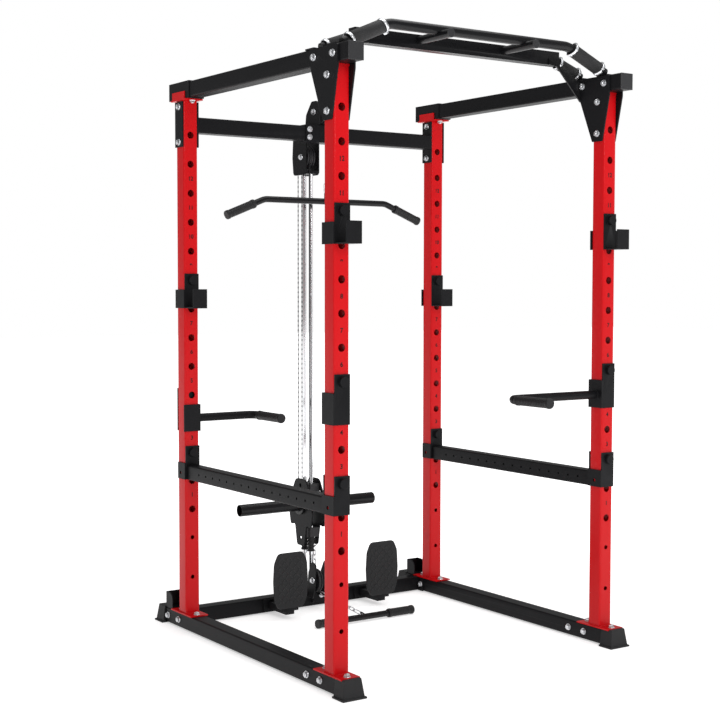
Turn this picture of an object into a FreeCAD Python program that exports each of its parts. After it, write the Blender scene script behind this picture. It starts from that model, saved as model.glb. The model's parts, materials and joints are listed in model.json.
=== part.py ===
import FreeCAD, Part
import math
import os
import re

import Sketcher

# Power cage with a rear cable tower.  Millimetres, +X to the lifter's right as the
# cage is faced from its front, +Y to the rear, +Z up, origin on the floor at the
# middle of the footprint.

doc = FreeCAD.newDocument("power_cage")
sheet = doc.addObject("Spreadsheet::Sheet", "Sizes")

DRIVING_SIZES = [
    # the cage
    ("cage_width", 1200.0),
    ("cage_depth", 1060.0),
    ("tube_size", 60.0),
    ("tube_wall", 2.5),
    ("tube_corner", 6.0),
    ("upright_length", 2000.0),
    ("rail_lift", 4.0),
    ("plate_thick", 5.0),
    ("top_plate_thick", 8.0),
    ("base_plate_length", 170.0),
    ("base_plate_width", 76.0),
    ("rail_front_reach", 65.0),
    ("rail_rear_reach", 165.0),
    ("top_front_reach", 80.0),
    ("top_rear_reach", 55.0),
    ("collar_length", 165.0),
    ("collar_wall", 3.0),
    # feet
    ("foot_wall", 4.0),
    ("foot_length", 50.0),
    ("foot_flare", 14.0),
    ("foot_flange", 7.0),
    # holes of the uprights
    ("hole_radius", 13.5),
    ("hole_pitch", 112.0),
    ("lowest_hole", 481.0),
    ("small_hole_radius", 8.0),
    # fasteners
    ("bolt_radius", 6.0),
    ("bolt_gap", 0.4),
    ("head_radius", 10.5),
    ("head_height", 7.0),
    ("washer_radius", 13.0),
    ("washer_thick", 2.0),
    # cross members
    ("cross_rear_gap", 20.0),
    ("flange_thick", 6.0),
    ("base_flange_length", 124.0),
    ("base_flange_bolt_spacing", 92.0),
    ("top_cross_drop", 61.0),
    ("top_flange_height", 174.0),
    ("top_flange_bolt_spacing", 136.0),
    # gusset plates and pull-up bar
    ("gusset_drop", 242.0),
    ("grip_bar_radius", 17.5),
    ("grip_bar_rise", 91.0),
    ("grip_bar_half", 400.0),
    ("grip_bar_forward", 10.0),
    ("rear_beam_back", 120.0),
    ("rear_beam_height", 50.0),
    ("rear_beam_depth", 40.0),
    ("neutral_grip_radius", 15.0),
    ("neutral_grip_spacing", 380.0),
    ("neutral_grip_front", 66.0),
    ("sleeve_thick", 6.5),
    ("clamp_thick", 1.6),
    # accessories on the uprights
    ("hook_level_front", 10),
    ("hook_level_rear", 8),
    ("safety_level", 2),
    ("dip_level_right", 5),
    ("dip_level_left", 4),
    ("bracket_gap", 0.5),
    ("bracket_thick", 5.0),
    ("bracket_above", 25.0),
    ("hook_below", 109.0),
    ("hook_reach", 74.0),
    ("hook_lip_drop", 35.0),
    ("wing_drop", 37.0),
    ("rear_return", 71.0),
    ("pin_clearance", 0.1),
    ("peg_length", 48.0),
    ("knob_radius", 17.5),
    ("knob_height", 15.0),
    ("safety_pin_radius", 12.0),
    ("safety_tube_width", 50.0),
    ("safety_tube_height", 58.0),
    ("safety_tube_drop", 49.0),
    ("safety_hole_radius", 4.5),
    ("safety_hole_pitch", 55.0),
    ("dip_below", 142.0),
    ("dip_bar_drop", 93.0),
    ("dip_bar_radius", 19.0),
    ("dip_arm_right", 420.0),
    ("dip_arm_left", 260.0),
    ("dip_grip", 215.0),
    ("dip_bend", 38.0),
    # cable tower
    ("rod_radius", 8.5),
    ("rod_front_gap", 20.0),
    ("rod_spacing", 50.0),
    ("rod_clearance", 0.1),
    ("pulley_radius", 48.0),
    ("pulley_width", 16.0),
    ("pulley_groove", 5.0),
    ("axle_radius", 6.0),
    ("axle_clearance", 0.08),
    ("cheek_gap", 56.0),
    ("cheek_thick", 5.0),
    ("row_plane", 18.0),
    ("cable_radius", 2.5),
    ("upper_axle_rise", 58.0),
    ("upper_axle_forward", 25.0),
    ("lower_axle_drop", 58.0),
    ("lower_housing_drop", 132.0),
    ("clamp_half", 75.0),
    ("low_axle_height", 128.0),
    # weight carriage
    ("carriage_plate_gap", 60.0),
    ("carriage_plate_thick", 6.0),
    ("sleeve_axis_height", 435.0),
    ("weight_sleeve_radius", 24.5),
    ("weight_sleeve_wall", 3.0),
    ("weight_sleeve_reach", 330.0),
    ("guide_block_height", 40.0),
    ("bumper_height", 60.0),
    ("bumper_radius", 15.0),
    # bars on the cables
    ("lat_bar_hang", 308.0),
    ("lat_bar_half", 292.0),
    ("lat_bar_end", 463.0),
    ("lat_bar_drop", 68.0),
    ("bar_radius", 12.5),
    ("rubber_radius", 18.0),
    ("row_bar_half", 230.0),
    ("row_bar_forward", 367.0),
    ("row_bar_aside", 50.0),
    ("row_grip_length", 125.0),
    # chains
    ("hook_inner_length", 38.0),
    ("hook_inner_width", 16.0),
    ("hook_wire", 2.5),
    ("link_length", 20.0),
    ("link_width", 8.0),
    ("link_wire", 2.0),
    ("row_link_length", 26.0),
    ("row_link_width", 9.0),
    ("row_link_wire", 2.2),
    # foot plates
    ("tread_width", 163.0),
    ("tread_height", 228.0),
    ("tread_thick", 8.0),
    ("tread_spacing", 453.0),
    ("tread_aside", 38.0),
    ("tread_forward", 170.0),
    ("tread_lift", 47.0),
]

DERIVED_SIZES = [
    ("half_width", "cage_width / 2"),
    ("half_depth", "cage_depth / 2"),
    ("half_tube", "tube_size / 2"),
    ("rail_top", "rail_lift + tube_size"),
    ("upright_foot", "rail_top + plate_thick"),
    ("upright_top", "upright_foot + upright_length"),
    ("top_rail_foot", "upright_top + top_plate_thick"),
    ("top_rail_top", "top_rail_foot + tube_size"),
    ("front_face", "0 - half_depth - half_tube"),
    ("rear_face", "half_depth + half_tube"),
    ("rail_front_end", "front_face - rail_front_reach"),
    ("rail_rear_end", "rear_face + rail_rear_reach"),
    # the footprint's middle becomes the origin
    ("middle_shift", "(half_depth + dip_grip + foot_wall - rail_rear_end - foot_wall - foot_flare) / 2"),
    ("hole_count", "(upright_top - 100 - lowest_hole) / hole_pitch + 1"),
    ("top_rail_front", "front_face - top_front_reach"),
    ("top_rail_rear", "rear_face + top_rear_reach"),
    ("base_cross", "rear_face + cross_rear_gap + half_tube"),
    ("top_cross_top", "upright_top - top_cross_drop"),
    ("top_cross_foot", "top_cross_top - tube_size"),
    ("top_cross_middle", "top_cross_top - half_tube"),
    ("inner_face", "half_width - half_tube"),
    ("outer_face", "half_width + half_tube"),
    ("grip_bar_y", "0 - half_depth - grip_bar_forward"),
    ("grip_bar_height", "top_rail_top + grip_bar_rise"),
    ("lat_bar_height", "top_cross_top - lat_bar_hang"),
    ("rear_beam_y", "0 - half_depth + rear_beam_back"),
    ("arm_foot_height", "top_rail_top + 11"),
    ("rod_front", "rear_face + rod_front_gap"),
    ("rod_rear", "rod_front + rod_spacing"),
    ("rod_middle", "(rod_front + rod_rear) / 2"),
    ("upper_axle_z", "top_cross_top + upper_axle_rise"),
    ("upper_axle_y", "half_depth - upper_axle_forward"),
    ("lower_axle_z", "top_cross_foot - lower_axle_drop"),
    ("lower_housing_foot", "top_cross_foot - lower_housing_drop"),
    ("groove_radius", "pulley_radius - pulley_groove + cable_radius"),
    ("lat_line_y", "upper_axle_y - groove_radius"),
    ("lift_line_y", "rod_middle + groove_radius"),
    ("row_line_y", "rod_middle - groove_radius"),
    ("low_axle_y", "row_line_y - groove_radius"),
    ("row_bar_y", "base_cross - row_bar_forward"),
    ("row_cable_end", "low_axle_y - 30"),
    ("tread_y", "base_cross - tread_forward"),
    ("carriage_foot_height", "sleeve_axis_height - 135"),
    ("lat_chain_top", "top_cross_top - 4"),
]

TOP_LEVEL = []
VALUES = {}


def fill_sheet():
    row = 1
    for alias, value in DRIVING_SIZES:
        sheet.set("A%d" % row, alias)
        sheet.set("B%d" % row, str(value))
        sheet.setAlias("B%d" % row, alias)
        VALUES[alias] = value
        row += 1
    for alias, formula in DERIVED_SIZES:
        sheet.set("A%d" % row, alias)
        sheet.set("B%d" % row, "=" + formula)
        sheet.setAlias("B%d" % row, alias)
        row += 1
    doc.recompute()
    for alias, formula in DERIVED_SIZES:
        VALUES[alias] = float(sheet.get(alias))


def bound(formula):
    """Return the formula with each size's name pointing at the sheet."""
    return re.sub(r"[a-z][a-z_]+", lambda word: "Sizes." + word.group(0), str(formula))


def size(formula):
    """Work out a formula of named sizes, in millimetres."""
    total = doc.getObject("Scratch")
    total.setExpression("Value", bound(formula))
    doc.recompute([total])
    return total.Value


fill_sheet()
scratch = doc.addObject("App::FeaturePython", "Scratch")
scratch.addProperty("App::PropertyFloat", "Value")


# ---------------------------------------------------------------- helpers

def bind_place(piece, x, y, z):
    piece.setExpression("Placement.Base.x", bound(x))
    piece.setExpression("Placement.Base.y", bound("(%s) + middle_shift" % y))
    piece.setExpression("Placement.Base.z", bound(z))


def box(xs, ys, zs):
    """A box from its two limits along each axis."""
    piece = doc.addObject("Part::Box", "box")
    piece.setExpression("Length", bound("(%s) - (%s)" % (xs[1], xs[0])))
    piece.setExpression("Width", bound("(%s) - (%s)" % (ys[1], ys[0])))
    piece.setExpression("Height", bound("(%s) - (%s)" % (zs[1], zs[0])))
    bind_place(piece, xs[0], ys[0], zs[0])
    return piece


TURNS = {
    "x": FreeCAD.Rotation(FreeCAD.Vector(0, 1, 0), 90),
    "y": FreeCAD.Rotation(FreeCAD.Vector(1, 0, 0), -90),
    "z": FreeCAD.Rotation(),
}


def rod(axis, radius, start, end, first, second):
    """A cylinder along an axis between two limits, placed by its other two coordinates."""
    piece = doc.addObject("Part::Cylinder", "rod")
    piece.Placement = FreeCAD.Placement(FreeCAD.Vector(), TURNS[axis])
    piece.setExpression("Radius", bound(radius))
    piece.setExpression("Height", bound("(%s) - (%s)" % (end, start)))
    if axis == "x":
        bind_place(piece, start, first, second)
    elif axis == "y":
        bind_place(piece, first, start, second)
    else:
        bind_place(piece, first, second, start)
    return piece


def ring(axis, outer, inner, start, end, first, second):
    return cut(rod(axis, outer, start, end, first, second),
               rod(axis, inner, start, end, first, second))


def cut(base, tool):
    piece = doc.addObject("Part::Cut", "cut")
    piece.Base = base
    piece.Tool = tool
    return piece


def fuse(parts):
    piece = doc.addObject("Part::MultiFuse", "fuse")
    piece.Shapes = parts
    return piece


def group(parts):
    piece = doc.addObject("Part::Compound", "group")
    piece.Links = parts
    return piece


def shape(solid):
    """A feature whose outline the primitives can't give."""
    piece = doc.addObject("Part::Feature", "shape")
    piece.Shape = solid
    piece.Placement = FreeCAD.Placement(FreeCAD.Vector(0, VALUES["middle_shift"], 0),
                                        FreeCAD.Rotation())
    return piece


def node(name, piece):
    piece.Label = name
    TOP_LEVEL.append(piece)
    return piece


def rounded_rectangle(sketch, width, height, radius):
    """A rounded rectangle about the sketch's origin, bound to the sheet."""
    w = size(width) / 2
    h = size(height) / 2
    r = size(radius)
    first = sketch.GeometryCount
    corners = [(w - r, h - r, 0), (r - w, h - r, 90), (r - w, r - h, 180), (w - r, r - h, 270)]
    for x, y, start in corners:
        circle = Part.Circle(FreeCAD.Vector(x, y, 0), FreeCAD.Vector(0, 0, 1), r)
        sketch.addGeometry(Part.ArcOfCircle(circle, math.radians(start), math.radians(start + 90)))
    ends = [((w - r, h), (r - w, h)), ((-w, h - r), (-w, r - h)),
            ((r - w, -h), (w - r, -h)), ((w, r - h), (w, h - r))]
    for start, end in ends:
        sketch.addGeometry(Part.LineSegment(FreeCAD.Vector(*start, 0), FreeCAD.Vector(*end, 0)))
    for i in range(4):
        arc = first + i
        line = first + 4 + i
        sketch.addConstraint(Sketcher.Constraint("Tangent", arc, 2, line, 1))
        sketch.addConstraint(Sketcher.Constraint("Tangent", line, 2, first + (i + 1) % 4, 1))
    for i in range(1, 4):
        sketch.addConstraint(Sketcher.Constraint("Equal", first, first + i))
    sketch.addConstraint(Sketcher.Constraint("Horizontal", first + 4))
    sketch.addConstraint(Sketcher.Constraint("Vertical", first + 5))
    limits = [("Radius", (first,), r, radius),
              ("DistanceX", (first + 5, 1, first + 7, 1), 2 * w, width),
              ("DistanceY", (first + 6, 1, first + 4, 1), 2 * h, height),
              ("DistanceX", (-1, 1, first + 7, 1), w, "(%s) / 2" % width),
              ("DistanceY", (-1, 1, first + 4, 1), h, "(%s) / 2" % height)]
    for kind, where, value, formula in limits:
        number = sketch.addConstraint(Sketcher.Constraint(kind, *where, value))
        sketch.setExpression("Constraints[%d]" % number, bound(formula))


def plane_of(body, role):
    for feature in body.Origin.OriginFeatures:
        if feature.Role == role:
            return feature
    return None


TUBE_TURNS = {
    "x": FreeCAD.Rotation(FreeCAD.Vector(1, 1, 1), 120),
    "y": FreeCAD.Rotation(FreeCAD.Vector(1, 0, 0), -90),
    "z": FreeCAD.Rotation(),
}


def tube(axis, width, height, start, end, first, second, wall="tube_wall", corner="tube_corner"):
    """A rounded rectangular tube padded along an axis.

    The width and height are its section: (Y, Z) along X, (X, Z) along Y, (X, Y) along Z.
    """
    body = doc.addObject("PartDesign::Body", "tube")
    sketch = body.newObject("Sketcher::SketchObject", "section")
    sketch.AttachmentSupport = [(plane_of(body, "XY_Plane"), "")]
    sketch.MapMode = "FlatFace"
    rounded_rectangle(sketch, width, height, corner)
    rounded_rectangle(sketch, "(%s) - 2 * %s" % (width, wall), "(%s) - 2 * %s" % (height, wall),
                      "%s - %s" % (corner, wall))
    pad = body.newObject("PartDesign::Pad", "length")
    pad.Profile = sketch
    pad.setExpression("Length", bound("(%s) - (%s)" % (end, start)))
    body.Placement = FreeCAD.Placement(FreeCAD.Vector(), TUBE_TURNS[axis])
    if axis == "x":
        bind_place(body, start, first, second)
    elif axis == "y":
        bind_place(body, first, start, second)
    else:
        bind_place(body, first, second, start)
    return body


def signed(side, formula):
    return formula if side > 0 else "0 - (%s)" % formula


def span(side, near, far):
    """Limits along X from a near to a far distance, on the left (-1) or right (+1)."""
    if side > 0:
        return (near, far)
    return ("0 - (%s)" % far, "0 - (%s)" % near)


def plate(axis, start, end, outline, holes=()):
    """A flat plate square to an axis, from an outline of points with rounded corners.

    Each outline point is (first, second, corner radius); a hole is (first, second, radius).
    The outline's plane is (Y, Z) for a plate square to X, (X, Z) for Y, (X, Y) for Z.
    """
    low = size(start)
    high = size(end)
    points = [(size(a), size(b), size(r)) for a, b, r in outline]

    def place(a, b, along):
        if axis == "x":
            return FreeCAD.Vector(along, a, b)
        if axis == "y":
            return FreeCAD.Vector(a, along, b)
        return FreeCAD.Vector(a, b, along)

    edges = rounded_edges([place(a, b, low) for a, b, r in points], [r for a, b, r in points], True)
    direction = place(0, 0, high - low)
    solid = Part.Face(Part.Wire(edges)).extrude(direction)
    for a, b, r in holes:
        centre = place(size(a), size(b), low)
        solid = solid.cut(Part.makeCylinder(size(r), high - low, centre, direction))
    return shape(solid)


def rounded_edges(points, radii, closed):
    """Straight runs joined by tangent arcs at the points that have a radius."""
    count = len(points)
    starts = list(points)
    ends = list(points)
    arcs = {}
    for i in range(count):
        if radii[i] <= 0 or (not closed and i in (0, count - 1)):
            continue
        here = points[i]
        back = (points[i - 1] - here).normalize()
        ahead = (points[(i + 1) % count] - here).normalize()
        half = back.getAngle(ahead) / 2
        reach = radii[i] / math.tan(half)
        centre = here + (back + ahead).normalize() * (radii[i] / math.sin(half))
        enter = here + back * reach
        leave = here + ahead * reach
        middle = centre + (here - centre).normalize() * radii[i]
        ends[i] = enter
        starts[i] = leave
        arcs[i] = Part.Arc(enter, middle, leave).toShape()
    edges = []
    for i in range(count if closed else count - 1):
        if i in arcs:
            edges.append(arcs[i])
        following = (i + 1) % count
        if (ends[following] - starts[i]).Length > 1e-6:
            edges.append(Part.LineSegment(starts[i], ends[following]).toShape())
    return edges


def bent_rod(points, bend, radius):
    """A round bar along straight runs joined by tangent bends."""
    route = [FreeCAD.Vector(size(x), size(y), size(z)) for x, y, z in points]
    edges = rounded_edges(route, [size(bend)] * len(route), False)
    path = Part.Wire(edges)
    section = Part.Wire(Part.makeCircle(size(radius), route[0], route[1] - route[0]))
    return shape(path.makePipeShell([section], True, False))


def slanted_rod(start, end, radius, hollow=None):
    """A straight round piece between two points, with a bore when it is hollow."""
    first = FreeCAD.Vector(*[size(v) for v in start])
    last = FreeCAD.Vector(*[size(v) for v in end])
    along = last - first
    solid = Part.makeCylinder(size(radius), along.Length, first, along)
    if hollow:
        solid = solid.cut(Part.makeCylinder(size(hollow), along.Length, first, along))
    return shape(solid)


def bolt(axis, start, end, first, second):
    """A hexagon bolt with washers and a nut, gripping from start to end."""
    plane = {"x": lambda a: (a, size(first), size(second)),
             "y": lambda a: (size(first), a, size(second)),
             "z": lambda a: (size(first), size(second), a)}[axis]
    low = size(start)
    high = size(end)
    washer = size("washer_thick")
    head = size("head_height")
    step = FreeCAD.Vector(*[1.0 if name == axis else 0.0 for name in "xyz"])

    def disc(radius, begin, length):
        return Part.makeCylinder(radius, length, FreeCAD.Vector(*plane(begin)), step)

    def hexagon(begin, length):
        across = size("head_radius")
        side = {"x": FreeCAD.Vector(0, 1, 0), "y": FreeCAD.Vector(0, 0, 1),
                "z": FreeCAD.Vector(1, 0, 0)}[axis]
        middle = FreeCAD.Vector(*plane(begin))
        corners = []
        for i in range(7):
            turn = FreeCAD.Rotation(step, 60 * i)
            corners.append(middle + turn.multVec(side) * across)
        return Part.Face(Part.makePolygon(corners)).extrude(step * length)

    radius = size("bolt_radius")
    solid = disc(radius, low - washer - head, high - low + 2 * washer + 2 * head + 2)
    solid = solid.fuse([disc(size("washer_radius"), low - washer, washer),
                        hexagon(low - washer - head, head),
                        disc(size("washer_radius"), high, washer),
                        hexagon(high + washer, head)])
    return shape(solid.removeSplitter())


def side_bolt(side, near, far, y, z):
    """A bolt along X between two distances from the middle plane, on one side."""
    first, last = span(side, near, far)
    return bolt("x", first, last, y, z)


def hole_x(side, near, far, y, z, radius="bolt_radius + bolt_gap"):
    first, last = span(side, near, far)
    return rod("x", radius, first, last, y, z)


SIDES = (("left", -1), ("right", 1))
ENDS = (("front", -1), ("rear", 1))


def post_y(end):
    return "half_depth" if end > 0 else "0 - half_depth"


def level(number):
    return "(lowest_hole + hole_pitch * (%s))" % number


# ---------------------------------------------------------------- base frame

def base_rail(name, side):
    x = signed(side, "half_width")
    piece = tube("y", "tube_size", "tube_size", "rail_front_end", "rail_rear_end",
                 x, "rail_lift + half_tube")
    holes = []
    for end in (-1, 1):
        for step in ("base_plate_length / 2 - 22", "22 - base_plate_length / 2"):
            holes.append(rod("z", "bolt_radius + bolt_gap", "rail_top - 2 * tube_wall", "rail_top",
                             x, "%s + %s" % (post_y(end), step)))
    for y in cross_bolt_rows() + front_bolt_rows():
        holes.append(hole_x(side, "inner_face", "outer_face", y, "rail_lift + half_tube"))
    node(name, cut(piece, group(holes)))


def cross_bolt_rows():
    return ["base_cross - base_flange_bolt_spacing / 2", "base_cross + base_flange_bolt_spacing / 2"]


def front_bolt_rows():
    return ["front_face + tube_size + 25", "front_face + tube_size + 25 + 85"]


def foot_shape(side, end):
    """A foot that closes a rail's end: a flared block with a wide rim on the floor."""
    middle = size(signed(side, "half_width"))
    half = size("half_tube + foot_wall")
    rim = size("foot_flare")
    rail_end = size("rail_rear_end") if end > 0 else size("rail_front_end")
    inner = rail_end - end * size("foot_length")
    outer = rail_end + end * size("foot_wall")
    lift = size("foot_flange")
    top = size("rail_top + foot_wall")

    def outline(spread, reach, z):
        corners = [(middle - half - spread, inner), (middle + half + spread, inner),
                   (middle + half + spread, outer + end * reach),
                   (middle - half - spread, outer + end * reach)]
        points = [FreeCAD.Vector(x, y, z) for x, y in corners]
        return Part.makePolygon(points + [points[0]])

    flare = Part.makeLoft([outline(rim * 0.6, rim * 0.6, lift), outline(0, 0, top)], True, True)
    low = Part.Face(outline(rim, rim, 0)).extrude(FreeCAD.Vector(0, 0, lift))
    body = low.fuse(flare).removeSplitter()
    pocket = Part.makeBox(2 * size("half_tube"), size("foot_length"), size("tube_size"),
                          FreeCAD.Vector(middle - size("half_tube"), min(inner, rail_end),
                                         size("rail_lift")))
    half_plate = size("base_plate_length") / 2 + 0.5
    plate_half = size("base_plate_width") / 2 + 0.5
    recess = Part.makeBox(2 * plate_half, 2 * half_plate, 20,
                          FreeCAD.Vector(middle - plate_half, size(post_y(end)) - half_plate,
                                         size("rail_top")))
    return shape(body.cut([pocket, recess]))


def base():
    for word, side in SIDES:
        base_rail("base_rail_" + word, side)
    flanges = []
    for word, side in SIDES:
        flanges.append(box(span(side, "inner_face - flange_thick", "inner_face"),
                           ("base_cross - base_flange_length / 2",
                            "base_cross + base_flange_length / 2"),
                           ("rail_lift", "rail_top")))
    beam = tube("x", "tube_size", "tube_size", "flange_thick - inner_face",
                "inner_face - flange_thick", "base_cross", "rail_lift + half_tube")
    holes = []
    for word, side in SIDES:
        for y in cross_bolt_rows():
            holes.append(hole_x(side, "inner_face - flange_thick", "inner_face", y,
                                "rail_lift + half_tube"))
    for x in low_bolt_places():
        holes.append(rod("y", "bolt_radius + bolt_gap", "base_cross - half_tube",
                         "base_cross + half_tube", x, "rail_top - 16"))
    node("base_cross_member", cut(fuse([beam] + flanges + foot_plate_arms()), group(holes)))
    node("rubber_feet", group([foot_shape(side, end) for word, side in SIDES
                               for name, end in ENDS]))


def channel_brackets():
    """An open channel on each rail behind the rear upright, with round-cornered cheeks."""
    pieces = []
    start = "half_depth + base_plate_length / 2 + 2"
    stop = "%s + 56" % start
    for word, side in SIDES:
        low, high = span(side, "inner_face", "outer_face")
        cheeks = []
        for first, last in ((low, "(%s) + 4" % low), ("(%s) - 4" % high, high)):
            cheeks.append(plate("x", first, last,
                                [(start, "rail_top", 0), (stop, "rail_top", 0),
                                 (stop, "rail_top + 64", 0), (start, "rail_top + 64", 30)]))
        floor = box((low, high), (start, stop), ("rail_top", "rail_top + 4"))
        back = box((low, high), ("%s - 4" % stop, stop), ("rail_top", "rail_top + 64"))
        pieces.append(fuse(cheeks + [floor, back]))
    node("rail_channel_brackets", group(pieces))


# ---------------------------------------------------------------- uprights

def upright(name, side, end):
    x = signed(side, "half_width")
    y = post_y(end)
    post = tube("z", "tube_size", "tube_size", "upright_foot", "upright_top", x, y)
    holes = []
    for i in range(int(VALUES["hole_count"])):
        holes.append(rod("y", "hole_radius", "%s - half_tube" % y, "%s + half_tube" % y,
                         x, level(i)))
    for drop in ("hole_pitch", "2.4 * hole_pitch"):
        holes.append(rod("y", "small_hole_radius", "%s - half_tube" % y, "%s + half_tube" % y,
                         x, "lowest_hole - %s" % drop))
    if end < 0:
        for back, height in post_gusset_bolts():
            holes.append(hole_x(side, "inner_face", "outer_face",
                                "0 - half_depth + %s" % back, height))
    else:
        for height in top_flange_bolts():
            holes.append(hole_x(side, "inner_face", "outer_face", "half_depth", height))
    node(name, cut(post, group(holes)))


def base_bolt_places():
    """How far before and behind its upright each base plate is bolted down."""
    return ["base_plate_length / 2 - 22", "22 - base_plate_length / 2"]


def saddle_bolt_places():
    return ["46", "0 - 46"]


def post_plates():
    """The plates welded to the uprights' ends: base plates, front top plates, rear saddles."""
    plates = []
    for word, side in SIDES:
        x = signed(side, "half_width")
        for end_word, end in ENDS:
            y = post_y(end)
            foot = box(("%s - base_plate_width / 2" % x, "%s + base_plate_width / 2" % x),
                       ("%s - base_plate_length / 2" % y, "%s + base_plate_length / 2" % y),
                       ("rail_top", "upright_foot"))
            holes = [rod("z", "bolt_radius + bolt_gap", "rail_top", "upright_foot",
                         x, "%s + %s" % (y, step)) for step in base_bolt_places()]
            plates.append(cut(foot, group(holes)))
        y = post_y(-1)
        plates.append(box(("%s - half_tube" % x, "%s + half_tube" % x),
                          ("%s - half_tube" % y, "%s + half_tube" % y),
                          ("upright_top", "top_rail_foot")))
        # a saddle: a plate under the top rail's collar and a tab up each side of it
        y = post_y(1)
        near = "(half_tube + collar_wall)"
        far = "(half_tube + collar_wall + plate_thick)"
        plate_top = "top_rail_foot - collar_wall"
        saddle = [box(("%s - %s" % (x, far), "%s + %s" % (x, far)),
                      ("%s - 62" % y, "%s + 62" % y), ("upright_top", plate_top)),
                  box(("%s - %s" % (x, far), "%s - %s" % (x, near)),
                      ("%s - 50" % y, "%s + 50" % y), (plate_top, "%s + 28" % plate_top)),
                  box(("%s + %s" % (x, near), "%s + %s" % (x, far)),
                      ("%s - 50" % y, "%s + 50" % y), (plate_top, "%s + 28" % plate_top))]
        holes = [rod("z", "bolt_radius + bolt_gap", "upright_top", plate_top,
                     x, "%s + %s" % (y, step)) for step in saddle_bolt_places()]
        plates.append(cut(fuse(saddle), group(holes)))
    node("post_plates", group(plates))


# ---------------------------------------------------------------- top frame

def post_gusset_bolts():
    return [("3", "upright_top - 28"), ("3", "upright_top - 145")]


def rail_gusset_bolts():
    return [("85", "top_rail_foot + half_tube"), ("0 - 30", "top_rail_foot + half_tube")]


def top_flange_bolts():
    return ["top_cross_middle - top_flange_bolt_spacing / 2",
            "top_cross_middle + top_flange_bolt_spacing / 2"]


def top_rail(name, side):
    x = signed(side, "half_width")
    rail = tube("y", "tube_size", "tube_size", "top_rail_front", "top_rail_rear",
                x, "top_rail_foot + half_tube")
    collar = cut(box(("%s - half_tube - collar_wall" % x, "%s + half_tube + collar_wall" % x),
                     ("top_rail_rear - collar_length", "top_rail_rear"),
                     ("top_rail_foot - collar_wall", "top_rail_top + collar_wall")),
                 box(("%s - half_tube + 1" % x, "%s + half_tube - 1" % x),
                     ("top_rail_rear - collar_length", "top_rail_rear"),
                     ("top_rail_foot + 1", "top_rail_top - 1")))
    holes = []
    for back, height in rail_gusset_bolts():
        holes.append(hole_x(side, "inner_face", "outer_face",
                            "0 - half_depth + %s" % back, height))
    for back in saddle_bolt_places():
        holes.append(rod("z", "bolt_radius + bolt_gap", "top_rail_foot - collar_wall",
                         "top_rail_foot + tube_wall", x, "half_depth + %s" % back))
    node(name, cut(fuse([rail, collar]), group(holes)))


def end_plugs():
    plugs = []
    for word, side in SIDES:
        x = signed(side, "half_width")
        for start, stop, inner, deep in (
                ("top_rail_front - 4", "top_rail_front", "top_rail_front", "top_rail_front + 22"),
                ("top_rail_rear", "top_rail_rear + 4", "top_rail_rear - 22", "top_rail_rear")):
            cap = box(("%s - half_tube" % x, "%s + half_tube" % x), (start, stop),
                      ("top_rail_foot", "top_rail_top"))
            plug = box(("%s - half_tube + tube_wall + 2" % x, "%s + half_tube - tube_wall - 2" % x),
                       (inner, deep),
                       ("top_rail_foot + tube_wall + 2", "top_rail_top - tube_wall - 2"))
            plugs.append(fuse([cap, plug]))
    rises = "grip_bar_height - grip_bar_radius - 2"
    front = "grip_bar_y - neutral_grip_front"
    for side in (-1, 1):
        plugs.append(rod("y", "neutral_grip_radius + 1", "%s - 4" % front, front,
                         signed(side, "neutral_grip_spacing / 2"), rises))
    node("end_plugs", group(plugs))


def top_cross():
    low = "top_cross_middle - top_flange_height / 2"
    high = "top_cross_middle + top_flange_height / 2"
    beam = tube("x", "tube_size", "tube_size", "flange_thick - inner_face",
                "inner_face - flange_thick", "half_depth", "top_cross_middle")
    plates = []
    holes = []
    backing = []
    for word, side in SIDES:
        rows = ("half_depth - half_tube", "half_depth + half_tube")
        plates.append(box(span(side, "inner_face - flange_thick", "inner_face"), rows, (low, high)))
        outer = box(span(side, "outer_face", "outer_face + flange_thick"), rows, (low, high))
        outer_holes = []
        for height in top_flange_bolts():
            holes.append(hole_x(side, "inner_face - flange_thick", "inner_face",
                                "half_depth", height))
            outer_holes.append(hole_x(side, "outer_face", "outer_face + flange_thick",
                                      "half_depth", height))
        backing.append(cut(outer, group(outer_holes)))
    holes += clamp_bolt_holes("half_depth - half_tube", "half_depth + half_tube")
    node("top_cross_member", cut(fuse([beam] + plates), group(holes)))
    node("top_backing_plates", group(backing))


def gussets(name, side):
    """Two tapered plates that clamp the front upright and the top rail between them."""
    foot = "top_rail_top - gusset_drop"
    outline = [("0 - half_depth + 115", "top_rail_top - 2", 8),
               ("0 - half_depth + 100", "upright_top - 8", 20),
               ("0 - half_depth + 30", foot, 6),
               ("0 - half_depth - 22", foot, 6),
               ("0 - half_depth - 58", "upright_top - 8", 20),
               ("0 - half_depth - 58", "top_rail_top - 2", 8)]
    holes = []
    for back, height in post_gusset_bolts() + rail_gusset_bolts():
        holes.append(("0 - half_depth + %s" % back, height, "bolt_radius + bolt_gap"))
    pieces = []
    for near, far in (("outer_face", "outer_face + flange_thick"),
                      ("inner_face - flange_thick", "inner_face")):
        start, stop = span(side, near, far)
        pieces.append(plate("x", start, stop, outline, holes))
    node(name, group(pieces))


# ---------------------------------------------------------------- pull-up bar

def arm_ends(side):
    """Where each of the two sloping arms starts and ends, front then rear."""
    foot = signed(side, "half_width - 15")
    front = ((signed(side, "grip_bar_half"), "grip_bar_y", "grip_bar_height"),
             (foot, "grip_bar_y", "arm_foot_height"))
    rear = ((signed(side, "grip_bar_half + 40"), "rear_beam_y", "grip_bar_height - 28"),
            (foot, "rear_beam_y", "arm_foot_height"))
    return front, rear


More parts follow.
